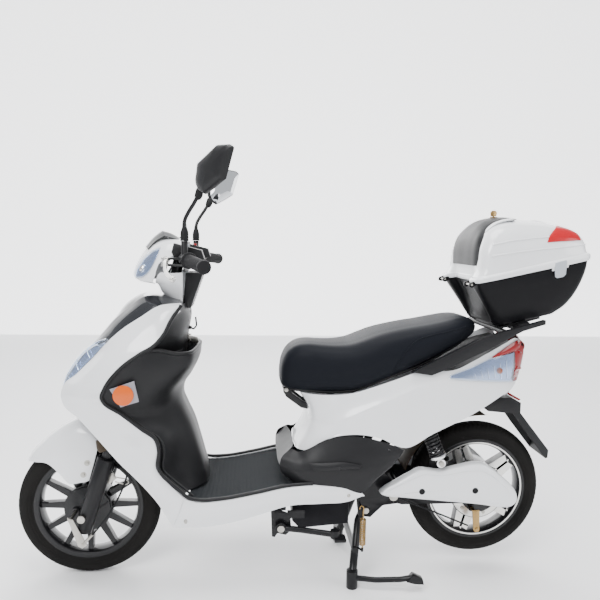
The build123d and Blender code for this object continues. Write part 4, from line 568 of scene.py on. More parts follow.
# ---- rear body ----
def rear_body():
    """White rear covers, lower trims, tail lamps, seen from the outside."""
    top = [(-14, 0, 566), (-16, 46, 567), (-22, 80, 569), (-78, 116, 571), (-167, 128, 580),
           (-222, 134, 598), (-285, 139, 621), (-348, 142, 643), (-400, 143, 647), (-447, 142, 648),
           (-520, 137, 679), (-562, 131, 700), (-612, 121, 725), (-641, 112, 738), (-664, 98, 733)]
    mid = [(-40, 0, 520), (-42, 46, 519), (-50, 90, 519), (-92, 118, 528), (-160, 134, 545),
           (-222, 142, 566), (-290, 147, 594), (-350, 149, 617), (-405, 149, 630), (-450, 147, 636),
           (-520, 141, 652), (-565, 134, 664), (-612, 124, 680), (-645, 114, 692), (-676, 96, 700)]
    fold = [(-44, 0, 498), (-45, 46, 497), (-52, 92, 492), (-90, 123, 486), (-150, 145, 511),
            (-212, 151, 541), (-280, 155, 570), (-350, 157, 602), (-410, 154, 622), (-455, 150, 624),
            (-520, 143, 626), (-565, 135, 636), (-612, 125, 648), (-645, 114, 655), (-672, 96, 660)]
    low_1 = [(-28, 0, 452), (-30, 48, 452), (-36, 92, 452), (-66, 124, 452), (-140, 145, 478),
             (-210, 149, 502), (-285, 150, 520), (-355, 150, 538), (-415, 149, 560), (-465, 146, 575),
             (-530, 140, 596), (-570, 132, 605), (-612, 122, 612), (-642, 111, 617), (-662, 96, 622)]
    low_2 = [(-2, 0, 404), (-4, 50, 404), (-10, 95, 406), (-40, 122, 410), (-100, 142, 452),
             (-165, 150, 464), (-235, 150, 455), (-320, 149, 423), (-395, 148, 462), (-452, 146, 489),
             (-510, 140, 515), (-560, 133, 542), (-605, 124, 568), (-638, 114, 587), (-658, 98, 600)]
    lip = [(x, y - 8 if y > 20 else y, z + 1) for x, y, z in low_2]
    cover = sheet("rear_cover", [top, mid, fold, low_1, low_2, lip], WHITE, "chassis", (7, 6), ((2, 4), ()),
                  thick=2.6, bevel=0.8)
    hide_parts("rear_covers")
    tree = side_surface(cover)
    lens = inlay("tail_lens", tree, [(-440, 636), (-500, 657), (-563, 683), (-610, 694), (-640, 703)],
                 [(-436, 626), (-520, 618), (-590, 612), (-632, 609), (-646, 609)], LENS, "chassis", 5.0,
                 1.6, (8, 30), 3.0)
    inlay("tail_bowl", tree, [(-444, 634), (-500, 653), (-563, 679), (-610, 690), (-638, 699)],
          [(-442, 629), (-520, 622), (-590, 616), (-630, 613), (-642, 613)], BOWL_PAINTED_REFLECTION, "chassis", 1.0, 1.0,
          (8, 30))
    inlay("tail_red", tree, [(-566, 686), (-600, 706), (-640, 728), (-664, 734), (-676, 728)],
          [(-570, 682), (-604, 690), (-628, 694), (-640, 698), (-648, 700)], RED, "chassis", 3.5, 4.0,
          (8, 20), 2.0)
    inlay("tail_red_rear", tree, [(-640, 700), (-652, 716), (-664, 728), (-674, 726), (-680, 716)],
          [(-642, 611), (-650, 610), (-656, 610), (-660, 612), (-664, 614)], RED, "chassis", 3.5, 4.0,
          (16, 12), 2.0)
    for k in range(6):
        x = -520 - 20 * k
        a, b = lay(tree, x, 622, 3.4), lay(tree, x + 8, 640 + 7 * k, 3.4)
        tube(f"tail_rib_{k}", [a, b], 1.2, CHROME, "chassis", both=True)
    bulb = lay(tree, -592, 645, 5.5)
    lathe("tail_bulb", [(0.01, bulb[1] - 6), (0.01, bulb[1] + 2), (6, bulb[1] + 1), (9, bulb[1] - 2),
                        (9, bulb[1] - 6)],
          (bulb[0], bulb[2]), AMBER, "chassis", 32, 0.4, True)
    wrap = [[(-664, 98, 734), (-674, 70, 736), (-682, 36, 737), (-685, 0, 737)],
            [(-682, 94, 716), (-690, 68, 718), (-696, 34, 719), (-698, 0, 719)],
            [(-668, 96, 676), (-680, 68, 678), (-688, 34, 680), (-690, 0, 680)],
            [(-654, 100, 640), (-670, 70, 640), (-680, 34, 640), (-683, 0, 640)],
            [(-657, 100, 608), (-672, 70, 607), (-682, 34, 606), (-685, 0, 606)]]
    red = sheet("tail_wrap", wrap, RED, "chassis", (6, 5), out=("along", -1, 0, 0), thick=3)
    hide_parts("tail_lamp")
    under = [[(-657, 100, 606), (-672, 70, 605), (-682, 34, 604), (-685, 0, 604)],
             [(-640, 112, 586), (-660, 74, 580), (-672, 36, 578), (-676, 0, 578)],
             [(-616, 118, 570), (-636, 80, 556), (-650, 38, 552), (-654, 0, 552)]]
    sheet("tail_under", under, WHITE, "chassis", (5, 5), out=("along", -1, 0, -0.5), thick=2.6)
    upper = [(14, 112, 412), (6, 118, 412), (-8, 126, 408), (-30, 136, 417), (-86, 146, 449),
             (-166, 152, 460), (-258, 152, 440), (-313, 150, 417)]
    crest = [(40, 128, 390), (14, 140, 388), (-12, 149, 384), (-42, 160, 388), (-104, 166, 402),
             (-176, 167, 418), (-248, 162, 416), (-306, 152, 406)]
    shelf = [(45, 132, 372), (10, 150, 366), (-20, 160, 362), (-50, 168, 366), (-116, 175, 378),
             (-184, 176, 366), (-246, 168, 376), (-292, 154, 388)]
    base = [(40, 130, 352), (6, 150, 350), (-30, 164, 338), (-70, 172, 330), (-120, 176, 322),
            (-184, 176, 310), (-236, 166, 342), (-280, 154, 372)]
    floor_edge = [(14, 130, 326), (0, 148, 324), (-30, 164, 322), (-70, 172, 318), (-120, 176, 311),
                  (-186, 176, 302), (-236, 164, 340), (-278, 152, 368)]
    trim = sheet("rear_trim", [upper, crest, shelf, base, floor_edge], SATIN, "chassis", (6, 6), ((2,), ()),
                 thick=2.6)
    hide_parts("rear_trims")
    t = side_surface(trim)
    inlay("foot_step", t, [(-40, 386), (-90, 390), (-140, 392), (-186, 384)],
          [(-52, 368), (-96, 370), (-140, 374), (-178, 374)],
          SATIN, "chassis", 5, 5, (6, 14), 3.0)
    for x, z in ((-124, 378), (-268, 420)):
        y = lay(t, x, z, 6 if x > -200 else 1)[1]
        lathe("trim_screw", [(0.01, y - 3), (0.01, y + 0.8), (3, y + 1.4), (4.6, y), (4.6, y - 3)], (x, z),
              RIM, "chassis", 24, 0.2, True)
    front = [[(14, 112, 412), (4, 70, 410), (0, 0, 408)], [(45, 132, 372), (48, 80, 370), (48, 0, 370)],
             [(14, 130, 326), (20, 80, 325), (22, 0, 325)]]
    sheet("trim_front", front, SATIN, "chassis", (5, 5), ((1,), ()), out=("along", 1, 0, 0), thick=2.6)
    deck = [[(-420, y, 640), (-520, y * 0.96, 668), (-600, y * 0.86, 706),
             (-650, y * 0.76, 722)] for y in (136, 68, 0)]
    sheet("tail_deck", deck, SATIN, "chassis", (4, 6), out=("along", 0, 0, 1), thick=2.6)


# ---- seat ----
def seat():
    """Seat cushion through its cross sections, with the sewn seam on each side."""
    stations = [(42, 596, 632, 34), (36, 586, 660, 60), (20, 581, 690, 76), (-4, 579, 708, 88),
                (-36, 578, 714, 98), (-74, 577, 712, 106),
                (-129, 580, 711, 119), (-165, 585, 716, 126), (-199, 594, 728, 131), (-245, 614, 745, 135),
                (-293, 634, 757, 136),
                (-345, 657, 767, 136), (-395, 680, 775, 134), (-440, 702, 784, 128), (-484, 724, 792, 116),
                (-512, 737, 793, 98),
                (-530, 746, 787, 80), (-541, 754, 776, 60)]
    rings = []
    for x, b, t, w in stations:
        h = t - b
        half = [(0, t), (0.40 * w, t - 0.01 * h), (0.72 * w, t - 0.05 * h), (0.92 * w, t - 0.18 * h),
                (1.0 * w, t - 0.42 * h),
                (1.0 * w, b + 0.34 * h), (0.97 * w, b + 0.12 * h), (0.90 * w, b + 0.02 * h), (0.45 * w, b)]
        ring = [(x, y, z) for y, z in half] + [(x, 0, b)] + [(x, -y, z) for y, z in reversed(half[1:])]
        rings.append(ring)
    cushion = solid("seat_pad", rings, VINYL, "seat", (6, 5))
    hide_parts("seat_cushion")
    tree = side_surface(cushion)
    seam = [(-276, 643), (-290, 668), (-306, 695), (-326, 719), (-347, 735), (-380, 746), (-430, 757),
            (-498, 772)]
    line = [lay(tree, x, z, 0.2) for x, z in smooth([(a, 0, b) for a, b in seam], 4)[:, [0, 2]]]
    tube("seat_seam", line, 1.7, VINYL, "seat", per=2, sides=10, both=True)
    cad_finish("seat_base", SATIN)


# ---- luggage box ----
def box_ring(front, rear, half, z_front, z_rear, corner, notch=0.0):
    """Plan outline of the box at one level, tilted from z_front to z_rear, with its front dented by notch."""
    line = []
    for k in range(5):
        a = radians(90 * k / 4)
        line.append((front - corner + corner * sin(a), half - corner + corner * cos(a)))
    dent = [(front - 1, 100), (front - notch, 84), (front - notch, 46), (front - notch, 0)]
    rear_corner = []
    for k in range(5):
        a = radians(90 * k / 4)
        rear_corner.append((rear + corner - corner * cos(a), half - corner + corner * sin(a)))
    half_line = [(rear, 0), (rear, 50), (rear, half - corner - 10)] + rear_corner
    half_line += [(0.5 * (front + rear), half)] + line + dent
    full = half_line + [(x, -y) for x, y in reversed(half_line[1:-1])]
    span = rear - front
    return [(x, y, z_front + (z_rear - z_front) * (x - front) / span) for x, y in full]


def luggage_box():
    """Top box: black base, white lid with its back pad, reflectors, latches, hinge ears and lock."""
    base = [box_ring(-597, -719, 109, 771, 803, 24), box_ring(-583, -761, 122, 777, 815, 28),
            box_ring(-572, -790, 128, 790, 838, 28, 8), box_ring(-553, -813, 140, 822, 876, 28, 14),
            box_ring(-528, -826, 151, 862, 918, 26, 22), box_ring(-512, -831, 157, 888, 948, 24, 22),
            box_ring(-508, -833, 159, 899, 972, 24, 20)]
    lower = solid("box_lower", base[::-1], BOXBLACK, "chassis", (5, 4), ((5,), ()), hollow=True)
    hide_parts("box_base")
    lid = [box_ring(-503, -837, 161.5, 899, 973, 24, 20), box_ring(-501, -839, 163, 902, 977, 25, 20),
           box_ring(-501, -839, 163, 910, 988, 25, 20), box_ring(-503, -837, 161.5, 913, 992, 25, 18),
           box_ring(-510, -833, 156, 917, 994, 25, 12), box_ring(-517, -831, 154.5, 932, 998, 26, 6),
           box_ring(-521, -831, 153, 962, 1004, 28), box_ring(-524, -832, 150.5, 996, 1012, 32),
           box_ring(-532, -830, 146, 1022, 1026, 36), box_ring(-545, -819, 136, 1046, 1046, 40),
           box_ring(-568, -776, 116, 1067, 1065, 44), box_ring(-597, -750, 92, 1079, 1075, 44),
           box_ring(-629, -716, 61, 1085, 1082, 32)]
    upper = solid("box_upper", lid, WHITE, "lid", (4, 4), ((3, 4), ()), hollow=True)
    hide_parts("box_lid")
    tree = side_surface(upper)
    for name, line in (("low", [(-545, 978), (-591, 986), (-677, 998), (-763, 1008), (-822, 1016)]),
                       ("high", [(-549, 1010), (-591, 1020), (-648, 1028), (-706, 1034), (-750, 1038)])):
        route = [lay(tree, x, z, 0.2) for x, z in smooth([(a, 0, b) for a, b in line], 5)[:, [0, 2]]]
        tube(f"lid_ridge_{name}", route, 2.6, WHITE, "lid", per=2, sides=12, both=True)
    inlay("lid_reflector", tree, [(-713, 1037), (-730, 1053), (-757, 1068), (-782, 1057), (-803, 1045)],
          [(-706, 1019), (-730, 1021), (-756, 1023), (-782, 1025), (-808, 1027)], PINK, "lid", 2.5, 3.0,
          (10, 20), 2.0)
    pad = [[(-516, 0, 948), (-516, 60, 948), (-518, 96, 948), (-522, 109, 949)],
           [(-516, 0, 996), (-516, 60, 996), (-519, 98, 996), (-524, 112, 996)],
           [(-524, 0, 1036), (-525, 60, 1035), (-529, 96, 1031), (-536, 110, 1027)],
           [(-540, 0, 1062), (-542, 58, 1061), (-549, 92, 1053), (-556, 104, 1046)],
           [(-566, 0, 1082), (-569, 54, 1080), (-577, 86, 1072), (-585, 98, 1064)],
           [(-598, 0, 1092), (-601, 48, 1089), (-608, 76, 1083), (-616, 86, 1076)],
           [(-635, 0, 1093), (-637, 36, 1091), (-641, 56, 1087), (-645, 64, 1083)],
           [(-668, 0, 1089), (-668, 16, 1089), (-668, 24, 1088), (-668, 28, 1086)]]
    sheet("lid_back_pad", pad, SATIN, "lid", (6, 6), out=("along", 1, 0, 1), thick=6, bevel=2.0)
    for side in (1, -1):
        name = "left" if side > 0 else "right"
        outline = [(-725, 962), (-741, 967), (-757, 971), (-759, 962), (-757, 930), (-750, 923),
                   (-732, 919), (-726, 923), (-724, 950)]
        clip = plate(f"latch_clip_{name}", outline, 163.5 * side, 167.5 * side, SILVER, f"latch_{name}", 1.5)
        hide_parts(f"latch_{name}")
        plate(f"latch_seat_{name}", [(-717, 962), (-768, 974), (-766, 950), (-719, 938)], 158 * side,
              163.5 * side, WHITE, "lid", 1.5)
    ears = [(-510, 897), (-495, 887), (-487, 890), (-488, 900), (-504, 906)]
    for y in (96, 139):
        plate("box_ear", ears, y - 5, y + 5, BOXBLACK, "chassis", 1.5, both=True)
    tube("box_hinge_pin", [(LID_HINGE[0], 91, LID_HINGE[1]), (LID_HINGE[0], 144, LID_HINGE[1])], 3,
         BOXBLACK, "chassis", both=True)
    tube("lock_barrel", [(-606, 0, 1084), (-606, 0, 1094)], 11, GOLD, "lid")
    cad_finish("box_key", GOLD, 0.4)


# ---- handlebar cowl ----
def cowl():
    """White cowl with its headlight, the smoked screen and the black panels behind it."""
    hood = [[(322, 0, 1010), (322, 34, 1010), (322, 60, 1006), (323, 80, 994), (326, 93, 974)],
            [(350, 0, 1014), (350, 36, 1013), (351, 64, 1006), (353, 88, 988), (356, 106, 960)],
            [(384, 0, 1013), (384, 36, 1010), (384, 66, 1000), (384, 92, 976), (384, 112, 944)],
            [(412, 0, 1003), (410, 36, 999), (406, 66, 986), (400, 92, 960), (392, 114, 926)],
            [(432, 0, 987), (429, 36, 982), (421, 66, 966), (410, 92, 940), (397, 114, 908)],
            [(456, 0, 952), (452, 36, 948), (440, 66, 934), (424, 90, 915), (402, 109, 896)],
            [(468, 0, 926), (464, 36, 922), (450, 66, 911), (430, 88, 900), (404, 104, 890)],
            [(472, 0, 908), (467, 36, 905), (452, 64, 898), (430, 84, 892), (402, 99, 887)],
            [(460, 0, 892), (455, 36, 891), (442, 60, 889), (422, 78, 887), (398, 92, 885)]]
    top = sheet("cowl_hood", hood, WHITE, "steering", (6, 6), ((), ()), out=("along", 0.6, 0.5, 0.6),
                thick=2.4, bevel=0.7)
    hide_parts("handlebar_cowl")
    neck = [[(398, 0, 886), (396, 40, 887), (398, 84, 888), (392, 106, 902), (384, 111, 915),
             (352, 106, 916), (322, 92, 917)],
            [(404, 0, 884), (400, 40, 884), (388, 78, 884), (370, 92, 886), (352, 96, 888), (338, 94, 889),
             (322, 88, 889)],
            [(390, 0, 858), (387, 32, 857), (372, 54, 855), (358, 64, 853), (347, 68, 852), (336, 69, 851),
             (325, 68, 850)],
            [(350, 0, 823), (347, 30, 822), (340, 46, 822), (336, 52, 822), (333, 55, 823), (330, 57, 823),
             (326, 58, 824)]]
    sheet("cowl_neck", neck, WHITE, "steering", (6, 6), ((1,), ()), out=("along", 0.6, 0.6, 0), thick=2.4,
          bevel=0.7)
    tree = side_surface(top)
    lens = inlay("headlight_glass", tree, [(383, 986), (408, 976), (430, 960), (450, 936), (463, 914)],
                 [(388, 965), (400, 940), (414, 917), (432, 903), (455, 898)], LENS, "steering", 3.2, 1.5,
                 (10, 24), 2.0)
    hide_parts("headlight")
    inlay("headlight_bowl", tree, [(386, 981), (408, 971), (428, 956), (447, 934), (459, 914)],
          [(390, 966), (402, 943), (415, 921), (432, 907), (452, 902)], BOWL_PAINTED_REFLECTION, "steering", 0.5, 1.0, (10, 24))
    spot = lay(tree, 430, 925, 2.0)
    lathe("headlight_bulb", [(0.01, spot[1] - 6), (0.01, spot[1] + 2.5), (7, spot[1] + 1.5),
                             (12, spot[1] - 3), (12, spot[1] - 6)],
          (spot[0], spot[2]), CHROME, "steering", 32, 0.4, True)
    screen = [[(438, 0, 988), (434, 30, 987), (424, 56, 980)],
              [(414, 0, 1016), (411, 30, 1014), (402, 58, 1004)],
              [(388, 0, 1038), (385, 30, 1034), (377, 58, 1020)],
              [(362, 0, 1030), (360, 30, 1027), (354, 56, 1014)],
              [(338, 0, 1018), (337, 30, 1016), (334, 52, 1009)]]
    sheet("small_screen", screen, SCREEN, "steering", (6, 6), ((2,), ()), out=("along", 0.3, 0, 1), thick=3,
          bevel=1.0)
    cad_finish("steering_cover", [SATIN, DISPLAY], 2.0)
    paint("steering_cover", lambda c, n: 1 if abs(c.y) < 44 and 963 < c.z < 993 and c.x < 319.5 else 0)


# ---- handlebar controls ----
def bar_point(distance, side):
    """Point on the handlebar's axis, so far out from its bend."""
    a, b = np.array(BAR_BEND), np.array(BAR_END)
    p = a + (b - a) / np.linalg.norm(b - a) * distance
    return (p[0], p[1] * side, p[2])


def controls():
    """Grips, levers, switch gear, buttons and mirrors on both sides of the bar."""
    for side in (1, -1):
        body = "steering" if side > 0 else "throttle"
        stops, radii = [], []
        for at, r in ((117, 15), (117.5, 21), (120, 22), (122.5, 21), (124, 16.5)):
            stops.append(at)
            radii.append(r)
        for k in range(14):
            start = 130 + 7.6 * k
            for at, r in ((start, 15.4), (start + 0.8, 16.6), (start + 5.0, 16.6), (start + 5.8, 15.4)):
                stops.append(at)
                radii.append(r)
        for at, r in ((240, 16.4), (246, 17.8), (251, 18.0), (254.5, 16.4), (255.5, 12)):
            stops.append(at)
            radii.append(r)
        grip = tube(f"grip_{side}", [bar_point(s, side) for s in stops], radii, MATT, body, per=2, sides=40)
        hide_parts("grip_left" if side > 0 else "throttle_grip")
        tube(f"grip_ring_{side}", [bar_point(114, side), bar_point(117.4, side)], 20, ALLOY, "steering",
             sides=40)
        y = side
        blade = tube(f"lever_{side}", [(360, 164 * y, 951), (357, 186 * y, 951), (354, 210 * y, 948),
                                       (346, 258 * y, 930), (334, 292 * y, 920),
                                        (322, 318 * y, 914)], [7, 6.2, 5.2, 4.8, 4.8, 5.4], ALLOY,
                     f"brake_lever_{'left' if y > 0 else 'right'}",
                     per=8, sides=20)
        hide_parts(f"brake_lever_{'left' if y > 0 else 'right'}")
        ball = tube(f"lever_ball_{side}", [(325, 311 * y, 916), (323.5, 314 * y, 915), (322, 318 * y, 914),
                                           (320, 322 * y, 912.6), (319, 325 * y, 912)],
                    [3, 7, 8, 6.5, 1], ALLOY, f"brake_lever_{'left' if y > 0 else 'right'}", per=5, sides=20)
        name = "left" if y > 0 else "right"
        lathe_z(f"lever_hub_{side}", (360, 164 * y), [(0.01, 945), (9, 945), (9, 955.6), (0.01, 955.6)],
                ALLOY, f"brake_lever_{name}")
        mirror_piece(y, name)
    cad_finish("bar_controls", [SATIN, ALLOY], 1.4)
    paint("bar_controls", lambda c, n: 1 if c.x > 342 and c.z < 965 else 0)
    cad_finish("handlebar", STEEL)
    cad_finish("horn_button", SILVER, 0.6)
    cad_finish("light_switch", RED, 0.6)
    cad_finish("fork_crown", STEEL, 0.8)


def lathe_z(name, centre, profile, mat, body, steps=32, bevel=0.6):
    """Round piece around a vertical axis at (x, y), from an open (radius, z) profile."""
    verts = [(centre[0] + r * cos(tau * i / steps), centre[1] + r * sin(tau * i / steps), z)
             for r, z in profile for i in range(steps)]
    faces = turned(verts, grid_faces(len(profile), steps, closed=True), ("from", *np.array(verts).mean(0)))
    return mesh(name, verts, faces, mat, body, bevel, 0.0, False, True)


def mirror_piece(side, name):
    """Mirror on its bent stem: boot, stem, rounded black head and glass."""
    body = f"mirror_{name}"
    y = side
    boot = lathe_z(f"mirror_boot_{name}", (308, 174 * y),
                   [(0.01, 1006.5), (11, 1006.5), (11.5, 1010), (10, 1013), (11.5, 1016), (10.5, 1020),
                    (11, 1024), (10, 1032), (6, 1044), (5.6, 1052), (0.01, 1053)], MATT, body)
    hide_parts(f"mirror_{name}")
    tube(f"mirror_stem_{name}", [(308, 174 * y, 1008), (309, 177 * y, 1036), (306, 182 * y, 1062),
                                 (295, 187 * y, 1084), (282, 193 * y, 1104),
                                 (271, 198 * y, 1124)], 5.2, STEEL, body, per=8, sides=20)
    tube(f"mirror_joint_{name}", [(274, 196 * y, 1116), (272, 197 * y, 1119), (268, 200 * y, 1128),
                                  (266, 203 * y, 1140), (265, 204 * y, 1144)],
         [5, 9, 10.5, 9, 5], MATT, body, per=6, sides=24)
    outline = [(17, 76), (92, 117), (129, 115), (141, 107), (138, 97), (113, 33), (61, 7), (40, -2),
               (17, 10), (9, 24), (12, 53)]
    face, across = np.array((0.7071, 0.7071, 0)), np.array((-0.7071, 0.7071, 0))
    up, joint = np.array((0, 0, 1.0)), np.array((268.0, 200.0, 1128.0))
    centre = np.array((72.0, 62.0))

    def ring(scale, depth):
        line = []
        for a, b in outline:
            p = centre + (np.array((a, b)) - centre) * scale
            at = joint + face * depth + across * p[0] + up * p[1]
            line.append((at[0], at[1] * side, at[2]))
        return line

    shell = solid(f"mirror_shell_{name}", [ring(0.95, 7.5), ring(0.99, 8.5), ring(1.0, 11), ring(0.985, 17),
                                           ring(0.93, 23), ring(0.8, 28), ring(0.55, 31.5),
                                     ring(0.25, 33)], SATIN, body, (4, 6), ((), (0, 1, 2, 4, 5, 7)))
    solid(f"mirror_glass_{name}", [ring(0.93, 6.4), ring(0.935, 6.6), ring(0.935, 9.5)], GLASS, body,
          (2, 6), ((), (0, 1, 2, 4, 5, 7)))


# ---- wheels ----
def tyre(name, centre, body, node):
    """Tyre with cut tread blocks, a centre groove and raised sidewall lines."""
    steps, verts = 704, []
    half = [(152, 17), (152, 23.5), (156, 25.5), (160, 25.6), (163, 27.5), (172, 30.6), (180, 32),
            (188, 31.6), (193, 30), (197, 27.6), (200.5, 24.5), (203.4, 21), (205.6, 17), (207.4, 13),
            (208.8, 9), (209.6, 5), (209.9, 1.6), (210, 0.8)]
    profile = half + [(r, -y) for r, y in reversed(half)]
    n = len(profile)
    for i in range(steps):
        a = tau * i / steps
        for r, y in profile:
            cut = 0.0
            if r > 194:
                phase = (i / steps * 88 + abs(y) * 0.055) % 1.0
                if phase < 0.22 and abs(y) > 4:
                    cut = 2.6
                if abs(y) < 1.0:
                    cut = 2.2
                shift = (i / steps * 88 + 0.5 + abs(y) * 0.02) % 1.0
                if 10 < abs(y) < 14 and shift > 0.35:
                    cut = 1.8
            rr = r - cut
            verts.append((centre[0] + rr * cos(a), y, centre[1] + rr * sin(a)))
    faces = []
    for i in range(steps):
        for j in range(n - 1):
            m = (i + 1) % steps
            faces.append((i * n + j, i * n + j + 1, m * n + j + 1, m * n + j))
    v = np.array(verts)
    f = faces[n // 2]
    if np.dot(np.cross(v[f[1]] - v[f[0]], v[f[2]] - v[f[0]]),
              v[f[0]] - np.array((centre[0], 0, centre[1]))) < 0:
        faces = [tuple(reversed(q)) for q in faces]
    o = mesh(name, verts, faces, TYRE, body)
    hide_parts(node)
    for r, w, y in ((168, 0.7, 29.6), (176, 0.6, 31.7), (161, 0.8, 26.4)):
        ring = [(r - w, y - 1), (r - w, y + w * 0.8), (r + w, y + w * 0.8), (r + w, y - 1)]
        lathe(f"{name}_line_{r}", ring, centre, TYRE, body, 160, 0.2, True)


def wheels():
    """Tyres, rims with their machined edges, hub ring, valves, axles and brake arms."""
    front, rear = FRONT_AXLE, REAR_AXLE
    tyre("front_tyre_tread", front, "front_wheel", "front_tyre")
    tyre("rear_tyre_tread", rear, "rear_wheel", "rear_tyre")
    cad_finish("front_rim", [RIM, ALLOY], 1.2)
    cad_finish("rear_rim", [RIM, ALLOY], 1.2)

    def spoke_face(c, n):
        r = ((c.x - rear[0])**2 + (c.z - rear[1])**2) ** 0.5
        return 1 if abs(n.y) > 0.8 and 14 < abs(c.y) < 18 and 88 < r < 138 else 0
    paint("rear_rim", spoke_face)
    for name, centre, body in (("front", front, "front_wheel"), ("rear", rear, "rear_wheel")):
        edge = ALLOY if name == "rear" else RIM
        lathe(f"{name}_rim_line", [(146, 24), (146, 27.4), (150.5, 28.0), (150.5, 24)], centre, edge, body,
              160, 0.4, True)
    lathe("rear_hub_ring", [(56, 44), (56, 49.4), (84, 47.2), (84, 44)], rear, ALLOY, "rear_wheel", 120,
          0.8, True)
    for k in range(6):
        a = radians(60 * k + 12)
        x, z = rear[0] + 70 * cos(a), rear[1] + 70 * sin(a)
        lathe(f"rear_cover_bolt_{k}", [(0.01, 47), (0.01, 52), (5, 51.4), (6, 50), (6, 47)], (x, z), ZINC,
              "rear_wheel", 6, 0.3, True)
    valve = [(front[0] + 138, 12, front[1] + 10), (front[0] + 122, 12, front[1] + 8)]
    tube("front_valve", valve, 3.4, MATT, "front_wheel", per=2, sides=14)
    valve = [(rear[0] + 120, 12, rear[1] + 64), (rear[0] + 106, 12, rear[1] + 57)]
    tube("rear_valve", valve, 3.4, MATT, "rear_wheel", per=2, sides=14)
    cad_finish("front_axle", [RIM, ZINC, STEEL], 0.8)

    def which(c, n):
        r = ((c.x - front[0])**2 + (c.z - front[1])**2) ** 0.5
        if abs(c.y) > 60 or (r < 14 and abs(c.y) > 42):
            return 1
        return 0
    paint("front_axle", which)
    cad_finish("rear_axle", [RIM, ZINC, STEEL], 0.8)
    paint("rear_axle", lambda c, n: 1 if abs(c.y) > 84 else 0)
    cad_finish("front_brake_arm", ZINC, 0.8)
    cad_finish("rear_brake_arm", GOLD, 0.8)


# ---- fork and fender ----
def fork():
    """Sliders, front fender, the boots under the crown and the front brake cable."""
    cad_finish("fork_sliders", [FORK], 2.5)
    rows = [[(781, 0, 361), (780, 12, 361), (779, 22, 360), (777, 30, 360), (775, 36, 359)],
            [(770, 0, 381), (768, 16, 380), (765, 28, 376), (762, 37, 368), (758, 43, 357)],
            [(744, 0, 407), (742, 20, 405), (739, 36, 396), (731, 48, 380), (717, 56, 356)],
            [(714, 0, 434), (712, 22, 432), (708, 42, 419), (697, 57, 382), (679, 64, 327)],
            [(667, 0, 464), (666, 24, 462), (664, 46, 446), (658, 64, 392), (649, 69, 299)],
            [(624, 0, 478), (623, 26, 476), (622, 50, 458), (619, 66, 400), (618, 69, 302)],
            [(594, 0, 466), (593, 28, 464), (590, 52, 448), (592, 66, 392), (601, 69, 305)],
            [(568, 0, 436), (567, 30, 435), (566, 54, 424), (574, 65, 384), (594, 68, 308)]]
    fender = sheet("fender_shell", rows, WHITE, "fork", (6, 6), ((), ()), out=("along", 0.2, 0.5, 1),
                   thick=2.6, bevel=0.8)
    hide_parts("front_fender")
    tree = side_surface(fender)
    for x, z in ((599, 361), (610, 326)):
        y = lay(tree, x, z, 0)[1]
        lathe("fender_bolt", [(0.01, y - 3), (0.01, y + 5), (4.5, y + 4.6), (5.6, y + 3), (5.6, y - 3)],
              (x, z), ZINC, "fork", 6, 0.3, True)
        lathe("fender_washer", [(0.01, y - 2), (0.01, y + 1.2), (8.5, y + 1.2), (8.5, y - 2)], (x, z), ZINC,
              "fork", 32, 0.2, True)
    ends = [(548, 78, 436), (543, 81, 416), (539, 82, 406)]
    tube("crown_clamp_rubber", ends, [23, 25, 22], BROWN, "steering", per=4, sides=32, both=True)
    route = [(330, -120, 948), (368, -60, 930), (380, -20, 890), (358, 10, 835), (395, 35, 765),
             (450, 62, 640), (470, 72, 500), (474, 76, 400), (492, 80, 300), (520, 102, 240),
             (556, 117, 190), (596, 118, 146)]
    cable = tube("front_cable", route, 2.6, MATT, None, per=14, sides=14)
    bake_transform(cable)
    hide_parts("front_brake_cable")
    barrel = [(575, 118, 168), (596, 118, 146)]
    tube("cable_adjuster", barrel, [4.5, 4.5], ZINC, "fork", per=2, sides=6)
    tube("cable_inner", [(596, 118, 146), (606, 112, 134)], 1.2, ZINC, "fork", per=2, sides=8)


